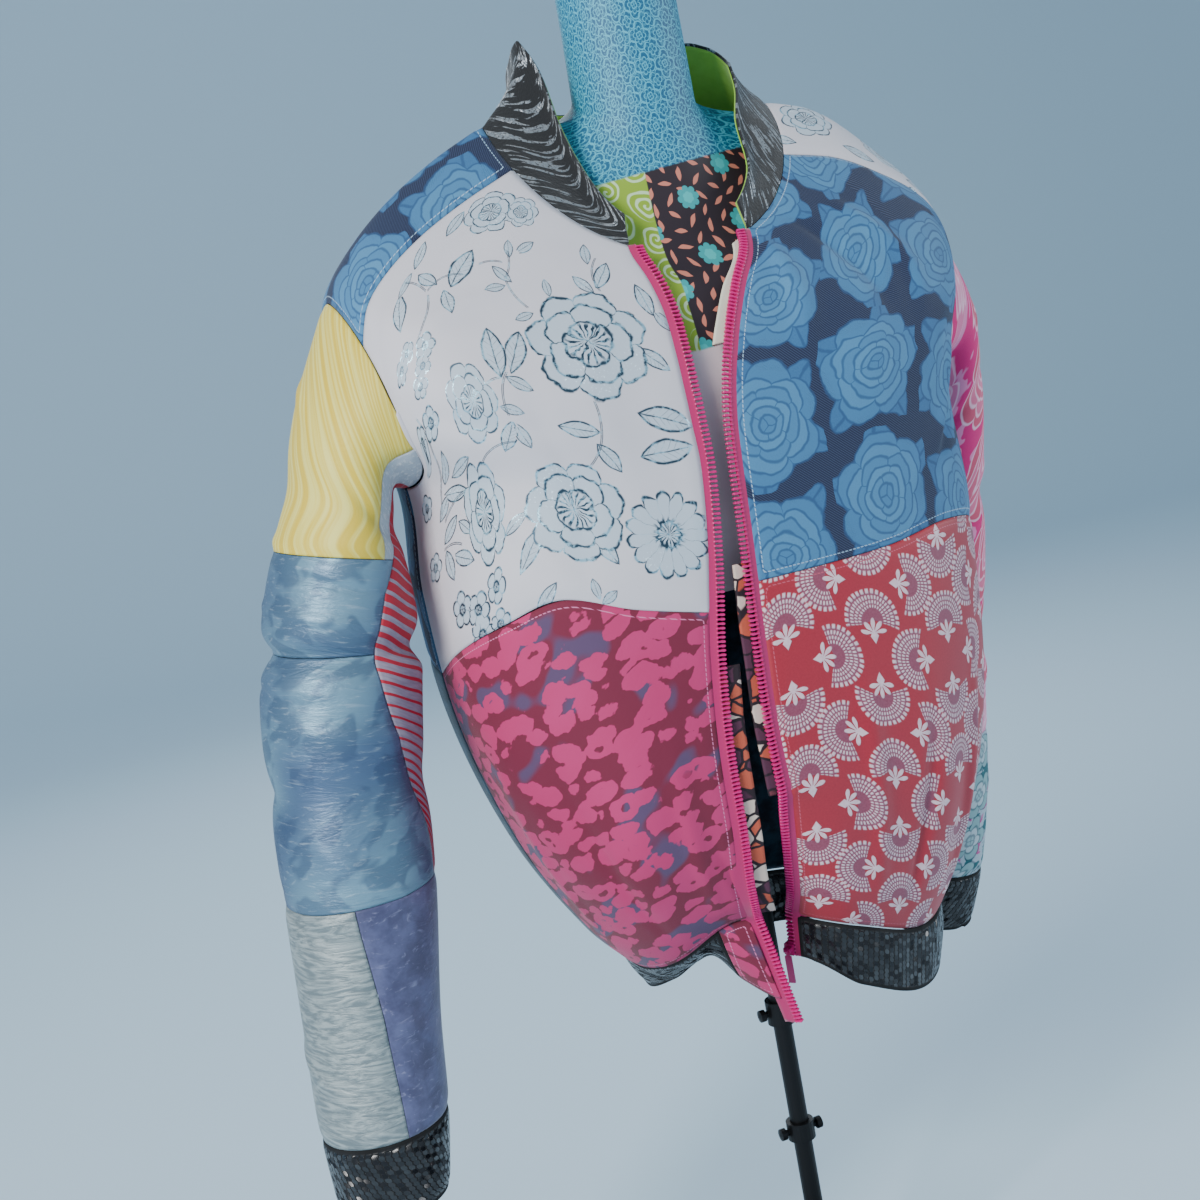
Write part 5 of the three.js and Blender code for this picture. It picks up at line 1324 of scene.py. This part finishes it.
velvet = Finish("black_velvet", roughness=0.85, sheen=0.3)
x, y = velvet.xy(velvet.warp(velvet.cloth, 24, 0.012))
way_of_pile = velvet.point((x * 0.5 + y * 0.86) * 0.16, x * 0.86 - y * 0.5)
brushed = velvet.noise(230, 2.0, 0.6, at=way_of_pile)
stroke = brushed.ramp(0.54, 0.58) * velvet.noise(520, 3.0, 0.7).ramp(0.36, 0.52)
velvet.paint(velvet.mix(stroke, (10, 10, 13), (150, 156, 162)))
velvet.set("Metallic", stroke * 0.85)
velvet.set("Roughness", 0.85 - stroke * 0.5)
velvet.bump(velvet.noise(500, 3.0) + stroke * 0.6, 0.0006)
lime = Finish("lime_lining", roughness=0.75, sheen=0.2)
lime.paint(lime.mix(lime.noise(120, 3.0), (128, 178, 44), (160, 206, 72)))
lime.weave(1000, 0.0001)
cloth_piece("collar", collar_grid(0, 1, 40, 300, 0), velvet)
cloth_piece("collar_lining", collar_grid(0.04, 0.97, 24, 300, LINING_DEPTH), lime, thick=0.0008)


# The hem band is a doubled strip of black sequinned cloth sewn round the hem. In front on the right it is
# tucked in, and beside the zip it ends in a short tab of the leopard print.
# phi, x, y, z, length
BAND = [
    [-180, 0.00, -0.14, -1.00, 42],
    [-150, 0.06, -0.12, -1.00, 42],
    [-130, 0.20, -0.08, -0.96, 42],
    [-108, 0.42, 0.02, -0.82, 41],
    [-86, 0.70, 0.18, -0.50, 39],
    [-64, 0.74, 0.46, -0.25, 36],
    [-50, 0.52, 0.62, -0.42, 38],
    [-39, 0.33, 0.30, -0.85, 52],
    [-27, 0.22, 0.02, -0.97, 64],
    [-3, -0.02, 0.12, -0.98, 32],
    [12, -0.06, 0.08, -0.98, 44],
    [60, -0.18, 0.02, -0.98, 46],
    [100, -0.20, -0.02, -0.98, 44],
    [140, -0.10, -0.10, -1.00, 42],
    [180, 0.00, -0.14, -1.00, 42]]
BAND_START, TAB_START, TAB_END = -3.0, 320.4, 333.0


def band_point(phi, t):
    """A point of the band: from the hem seam along the band's own direction at that angle."""
    turned = np.where(phi > 180, phi - 360, phi)
    row = smooth(BAND, turned)
    return body_point(phi, 0.0) + unit(row[..., :3]) * (row[..., 3] * t / 1000)[..., None]


def band_grid(start, end, columns, rows=26):
    """Points of the band from one angle to another, its lower edge first, gathered a little."""
    phi, t = np.meshgrid(np.linspace(start, end, columns), np.linspace(1, 0, rows))
    out = -way_out(band_point, phi, np.clip(t, 0.05, 0.95), 1.0, 0.05)
    gather = 0.0010 * np.sin(np.radians(phi * 17 + 60 * np.sin(np.radians(phi * 3)))) * np.sin(np.pi * t)
    swell = 0.0016 * np.sin(np.pi * t) ** 0.7 - SEAM_DIP * np.exp(-((t * 10) ** 2))
    return toward(band_point(phi, t) + out * (swell + gather)[..., None])


cloth_piece("hem_band", band_grid(BAND_START, TAB_START, 400), sequins)
cloth_piece("right_hem_tab", band_grid(TAB_START, TAB_END, 24), leopard)


# The front closes with a separating zip of moulded hot-pink teeth on a pink tape, one chain sewn to each
# edge. The right chain's end hangs free below the hem, and the slider stays at the foot of the left one.
INWARD = {"right": -2.0, "left": 2.0}    # degrees from a front's edge into its panel


def blurred(way, reach):
    """Each row averaged with its neighbours, with the ends carried on straight."""
    steps = np.arange(reach, 0, -1)[:, None]
    before = way[0] - steps * (way[1] - way[0])
    after = way[-1] + steps[::-1] * (way[-1] - way[-2])
    padded = np.concatenate([before, way, after])
    share = np.ones(2 * reach + 1) / (2 * reach + 1)
    return np.stack([np.convolve(padded[:, k], share, "valid") for k in range(3)], -1)


def edge_path(side, count=240):
    """Places up a front edge, from the band's lower edge to the neck, evenly spaced: the point, the way
    across, away from the panel, and the way out of the cloth."""
    edge = float(front_edge(side, 0.0))
    t = np.linspace(1, 0, 16)[:-1]
    v = np.linspace(0, 1, 240)
    hem_phi = edge + 360 if side == "right" else edge
    inward = INWARD[side]
    at = np.concatenate([band_point(hem_phi + 0 * t, t), body_point(front_edge(side, v), v)])
    beside = np.concatenate([band_point(hem_phi + inward + 0 * t, t),
                             body_point(front_edge(side, v) + inward, v)])
    out = np.concatenate([-way_out(band_point, hem_phi + 0 * t, np.clip(t, 0.05, 0.95), 1.0, 0.05),
                          body_out(front_edge(side, v), v)])
    across = unit(at - beside)
    if side == "right":
        tail = unit(at[:1] - at[1:2]) * ZIP_TAIL + at[:1]
        at = np.concatenate([tail, at])
        across, out = np.concatenate([across[:1], across]), np.concatenate([out[:1], out])
    length = np.concatenate([[0], np.cumsum(np.linalg.norm(np.diff(at, axis=0), axis=1))])
    places = np.linspace(0, length[-1], count)
    at, across, out = (np.stack([np.interp(places, length, way[:, k]) for k in range(3)], -1)
                       for way in (at, across, out))
    at, across, out = blurred(at, 2), blurred(across, 8), blurred(out, 8)
    places = np.concatenate([[0], np.cumsum(np.linalg.norm(np.diff(at, axis=0), axis=1))])
    lengthways = unit(np.gradient(at, axis=0))
    across = unit(across - lengthways * (across * lengthways).sum(-1, keepdims=True))
    out = out - lengthways * (out * lengthways).sum(-1, keepdims=True)
    out = unit(out - across * (out * across).sum(-1, keepdims=True))
    return at, across, out, places


ZIP_TAIL = 0.020
# across and out, in millimetres: the tape with the cord along its edge that the teeth grip
TAPE_PROFILE = [[-6, -2.2], [-3, -2.3], [0.5, -1.7], [3.0, -1.7], [3.6, -1.9], [4.2, -1.9], [4.7, -1.4],
                [4.7, -0.4], [4.2, 0.1], [3.6, 0.1], [3.0, -0.5], [0.5, -0.5], [-3, -1.9], [-6, -1.9]]
TOOTH_PITCH, TOOTH_TOP, TOOTH_BOTTOM = 0.0029, 0.0010, -0.0024
# across and along, from the cord out to the head, in millimetres
TOOTH_OUTLINE = [[3.4, -0.62], [6.3, -0.62], [6.9, -0.85], [8.6, -0.85], [9.3, -0.4], [9.3, 0.4], [8.6, 0.85],
                 [6.9, 0.85], [6.3, 0.62], [3.4, 0.62]]
# how far the tooth's outline shrinks and how high it is at each level, from 0, its foot, to 1
TOOTH_LEVELS = [[0.82, 0.0], [1.0, 0.12], [1.0, 0.88], [0.82, 1.0]]


def turned_out(mesh):
    """Faces turned outwards."""
    shape = bmesh.new()
    shape.from_mesh(mesh)
    bmesh.ops.recalc_face_normals(shape, faces=shape.faces)
    shape.to_mesh(mesh)
    shape.free()


def carried(name, path, profile, finish):
    """A closed profile carried along a path, with its ends capped."""
    at, across, out, _ = path
    profile = np.array(profile) / 1000
    points = at[:, None] + across[:, None] * profile[None, :, :1] + out[:, None] * profile[None, :, 1:]
    mesh = mesh_of(name, points, grid_faces(*points.shape[:2], True, capped=True))
    turned_out(mesh)
    return finished(name, mesh, finish)


def teeth(name, path, finish):
    """Moulded teeth along a chain: one outline, shrunk a little at its foot and top, at every pitch."""
    at, across, out, places = path
    spots = np.arange(TOOTH_PITCH / 2, places[-1] - TOOTH_PITCH / 2, TOOTH_PITCH)
    at, across, out = (np.stack([np.interp(spots, places, way[:, k]) for k in range(3)], -1)
                       for way in (at, across, out))
    lengthways = np.cross(across, out)
    outline = np.array(TOOTH_OUTLINE) / 1000
    centre = outline.mean(0)
    levels = np.array(TOOTH_LEVELS)
    shape = centre + (outline - centre) * levels[:, None, :1]
    height = TOOTH_BOTTOM + (TOOTH_TOP - TOOTH_BOTTOM) * levels[:, 1]
    points = (at[:, None, None] + across[:, None, None] * shape[None, ..., :1]
              + lengthways[:, None, None] * shape[None, ..., 1:]
              + out[:, None, None] * height[None, :, None, None])
    count, rows, sides = points.shape[:3]
    *walls, foot, top = grid_faces(rows, sides, True, capped=True)
    step = (np.arange(count) * rows * sides)[:, None]
    faces = (step[..., None] + np.array(walls)).reshape(-1, 4).tolist()
    faces += (step + np.array(foot)).tolist() + (step + np.array(top)).tolist()
    mesh = mesh_of(name, points, faces)
    turned_out(mesh)
    return finished(name, mesh, finish, soft_shaded=False)


zip_pink = Finish("zip_pink", roughness=0.35)
tape_pink = Finish("zip_tape", roughness=0.8, sheen=0.2)
zip_pink.paint((206, 26, 116))
tape_pink.paint((176, 20, 92))
for side in ("right", "left"):
    path = edge_path(side)
    on_jacket(carried(f"{side}_zip_tape", path, TAPE_PROFILE, tape_pink), f"{side}_zip")
    on_jacket(teeth(f"{side}_zip_teeth", path, zip_pink), f"{side}_zip")


def dress(nodes, finish):
    """CAD nodes that keep their shape get a finish."""
    for name in nodes:
        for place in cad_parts[name].material_slots:
            place.material = finish.material


dress(["zip_slider", "zip_pull"], zip_pink)


# Strips of print show behind the zip: a long one that guards the right chain, a short one behind the left
# chain at the waist, and a cream facing at the left of the neck.
def strip_grid(side, low, high, inner, outer, rows, columns, depth=0.0032):
    """Points of a strip behind an edge, from v low to high, from inside the panel to past the zip."""
    v = np.linspace(low, high, rows)
    phi = front_edge(side, v)
    at, out = body_point(phi, v), body_out(phi, v)
    across = unit(at - body_point(phi + INWARD[side], v))
    out = unit(out - across * (out * across).sum(-1, keepdims=True))
    u = np.linspace(inner, outer, columns) / 1000
    ripple = 0.0005 * np.sin(v * 60)[:, None] * np.linspace(0, 1, columns)[None] ** 2
    points = (at[:, None] + across[:, None] * u[None, :, None]
              - out[:, None] * (depth + ripple)[..., None])
    return points if side == "right" else points[:, ::-1]


STRIP_THICK = 0.0013
guard = Finish("guard_print", roughness=0.8)
facing = Finish("neck_facing", roughness=0.8)
place = guard.warp(guard.cloth, 90, 0.004)
pebble = guard.cells(place, 95, "F1", 0.9)
crack = guard.any.out(guard.cells(place, 95, "DISTANCE_TO_EDGE", 0.9), 0)
hue, other = guard.xy(guard.any.out(pebble, 1))
stones = guard.mix(hue.ramp(0.45, 0.55), (84, 40, 62), (188, 84, 60))
stones = guard.mix(other.ramp(0.66, 0.7), stones, (214, 190, 176))
guard.paint(guard.mix(1 - crack.ramp(0.05, 0.1), stones, (34, 16, 26)))
guard.weave(1000, 0.0001)
facing.paint(facing.mix(facing.noise(160, 3.0), (206, 198, 176), (226, 220, 204)))
facing.weave(900, 0.0001)
cloth_piece("right_zip_guard", strip_grid("right", 0.0, 0.401, -10, 19, 120, 16),
            guard, thick=STRIP_THICK)
cloth_piece("left_zip_guard", strip_grid("left", 0.239, 0.499, -10, 15, 80, 14),
            guard, thick=STRIP_THICK)
cloth_piece("left_neck_facing", strip_grid("left", 0.76, 1.0, -10, 17, 80, 14),
            facing, thick=STRIP_THICK)


# The dress form is a padded neck, shoulders and chest without arms. Its neck is covered with a teal
# print, its chest with two more patches, and below their cut edge its pale shell is bare.
# v, side, front, back
FORM = [
    [0.44, 34, 22, 26],
    [0.55, 34, 18, 22],
    [0.66, 36, 14, 18],
    [0.74, 30, 12, 14],
    [0.80, 16, 10, 10],
    [0.86, 3.5, 9, 8],
    [0.90, 1.5, 8, 7],
    [0.94, 1.8, 9, 7],
    [1.00, 6, 12, 8]]
FORM_WALL = 2
FORM_BOTTOM, FORM_LOW, FORM_SECOND = 0.605, 0.46, 0.50
NECK_MIDDLE, NECK_RADIUS = np.array([0.012, 0.006]), 0.042
NECK_BASE, NECK_TILT = 0.934, 0.016
NECK_RINGS = [(0.0415, 0.960), (0.041, 0.985), (0.041, 1.012), (0.041, 1.045), (0.0405, 1.052),
              (0.0385, 1.057), (0.034, 1.0605), (0.026, 1.062), (0.014, 1.0625)]   # radius and z


def form_point(phi, v):
    """A point of the form: the jacket's plain ring drawn in, most at the sides and least on top."""
    side, front, rear = np.moveaxis(smooth(FORM, v), -1, 0)
    ahead = np.cos(np.radians(phi)) ** 2
    end = np.where(np.cos(np.radians(phi)) > 0, front, rear)
    inset = FORM_WALL + side * (1 - ahead) ** 3 + end * (1 - (1 - ahead) ** 3)
    return body_point(phi, v, plain=True) - body_out(phi, v, plain=True) * (inset / 1000)[..., None]


def neck_ring(phi, radius, z):
    """A round ring of the neck."""
    x, y = radius * np.sin(np.radians(phi)), -radius * np.cos(np.radians(phi))
    return np.stack([NECK_MIDDLE[0] + x, NECK_MIDDLE[1] + y, z + 0 * phi], -1)


def form_grid(columns=180):
    """Rings of the form from its flat bottom to the domed top of its neck. Between the shoulders and the
    neck each column is a cubic curve that leaves along the shoulders and ends upright."""
    phi = np.linspace(0, 360, columns, endpoint=False)
    lowest = form_point(phi, FORM_LOW + 0 * phi)
    lowest[:, 2] = FORM_BOTTOM
    second = form_point(phi, FORM_SECOND + 0 * phi)
    share = np.array([0, 0.03, 0.1, 0.3, 0.5, 0.7, 0.9])[:, None, None]
    low_rings = lowest * (1 - share) + second * share
    centre = lowest.mean(0)
    low_rings[0] = centre + (lowest - centre) * [0.985, 0.985, 1]
    v = np.linspace(FORM_SECOND, 1, 70)[:, None]
    rings = form_point(phi[None] + 0 * v, v + 0 * phi[None])
    start, before = rings[-1], form_point(phi, 0.97 + 0 * phi)
    end = neck_ring(phi, NECK_RADIUS, NECK_BASE - NECK_TILT * np.cos(np.radians(phi)))
    reach = np.linalg.norm(end - start, axis=1, keepdims=True) * 0.7
    t = np.linspace(0, 1, 24)[1:, None, None]
    rise = cubic(t, reach, start, unit(start - before), end, np.array([0, 0, 1.0]))
    neck = [neck_ring(phi, radius, z) for radius, z in NECK_RINGS]
    return np.concatenate([low_rings, rings, rise, np.stack(neck)])


# Teal damask: eight-petalled tiles with crosses between them, paler on teal.
TILE_WIDE, TILE_HIGH, TILE_ROUND = 0.017, 0.020, 0.045
TILE_ACROSS, TILE_UP = 118, 108     # one over the tile's half sizes
form_cover = Finish("form_cover", roughness=0.6)
x, y, z = form_cover.xyz()
around = x.angle(-y) * TILE_ROUND
damask_parts = []
for left, low, layers in ((0.0, 0.0, [(1.0, 4, 0.0, 0.55), (0.62, 8, 0.3, 0.4), (0.28, 4, 0.8, 0.4)]),
                          (0.0085, 0.010, [(0.8, 4, 0.8, 0.6), (0.4, 4, 0.0, 0.5)])):
    across, up, _, _, _ = form_cover.repeat(form_cover.point(around, z), TILE_WIDE, TILE_HIGH, 0.0, left, low)
    seen = form_cover.point(across * TILE_ACROSS, up * TILE_UP)
    damask_parts.append(form_cover.blossom(seen, layers, 0.045)[0])
speckle = form_cover.noise(520, 2.0, at=form_cover.place).ramp(0.5, 0.6)
pale = damask_parts[0].most(damask_parts[1]).most(speckle * 0.35)
damask = form_cover.mix(pale, (14, 88, 124), (78, 178, 202))

# Brown print with coral leaves and turquoise blossoms.
flat = form_cover.point(x, z)
across, up, _, _, chance = form_cover.repeat(form_cover.warp(flat, 60, 0.006), 0.012, 0.011, 0.5)
_, twig = form_cover.leaf(form_cover.turned(across, up, chance * FULL_TURN, 0.0052), 0.36, 2, 0.08)
across, up, _, _, chance = form_cover.repeat(flat, 0.034, 0.040, 0.5)
_, flower, tone = form_cover.blossom(form_cover.turned(across, up, chance * FULL_TURN, 0.0085),
                                     [(1.0, 8, 0.2, 0.3), (0.5, 6, 0.4, 0.2)], 0.06)
brown = form_cover.mix(twig, (40, 26, 34), (206, 122, 102))
brown = form_cover.mix(flower, brown, form_cover.mix(tone, (24, 130, 136), (74, 196, 194)))

# Green print of pale scrolls.
across, up, _, _, chance = form_cover.repeat(form_cover.warp(flat, 50, 0.008), 0.022, 0.024, 0.5)
r, angle = form_cover.polar(form_cover.turned(across, up, chance * FULL_TURN, 0.011))
scroll = (r * 15 - angle).sin().ramp(0.1, 0.5) * (1 - r.ramp(0.9, 1.0))
green = form_cover.mix(scroll, (134, 164, 44), (186, 214, 168))
shell = form_cover.mix(form_cover.noise(40, 2.0, at=form_cover.place), (206, 190, 196), (222, 208, 212))

# Where the patches meet: brown to the wearer's left of a slanting line and green to the right of it, both
# above the cut edge, and the damask over them on the shoulders and the neck.
MEETING_X, MEETING_Z, MEETING_SLANT = -0.019, 0.765, -0.09
CUT_X, CUT_Z, CUT_SLANT = -0.02, 0.760, -0.08
DAMASK_Z, DAMASK_SLANT = 0.882, 0.1
past_meeting = x + (z - MEETING_Z) * MEETING_SLANT - MEETING_X
chest = form_cover.mix(past_meeting.ramp(-0.0005, 0.0005), green, brown)
cut_edge = z + (x - CUT_X).abs() * CUT_SLANT
chest = form_cover.mix((cut_edge - CUT_Z).ramp(-0.0008, 0.0008), shell, chest)
top = (z - DAMASK_Z - x * DAMASK_SLANT).ramp(-0.0008, 0.0008)
form_cover.paint(form_cover.mix(top, chest, damask))
rings = form_grid()
form_shell = mesh_of("form_shell", rings, grid_faces(*rings.shape[:2], True, capped=True))
on_jacket(finished("form_shell", form_shell, form_cover), "dress_form")


# A round base, a pole and two small clamps carry the form. They are powder-coated black steel.
stand_black = Finish("stand_black", roughness=0.45, metallic=0.6)
stand_black.paint((20, 20, 22))
dress(["stand_base", "stand_pole", "pole_clamp", "pole_collar"], stand_black)
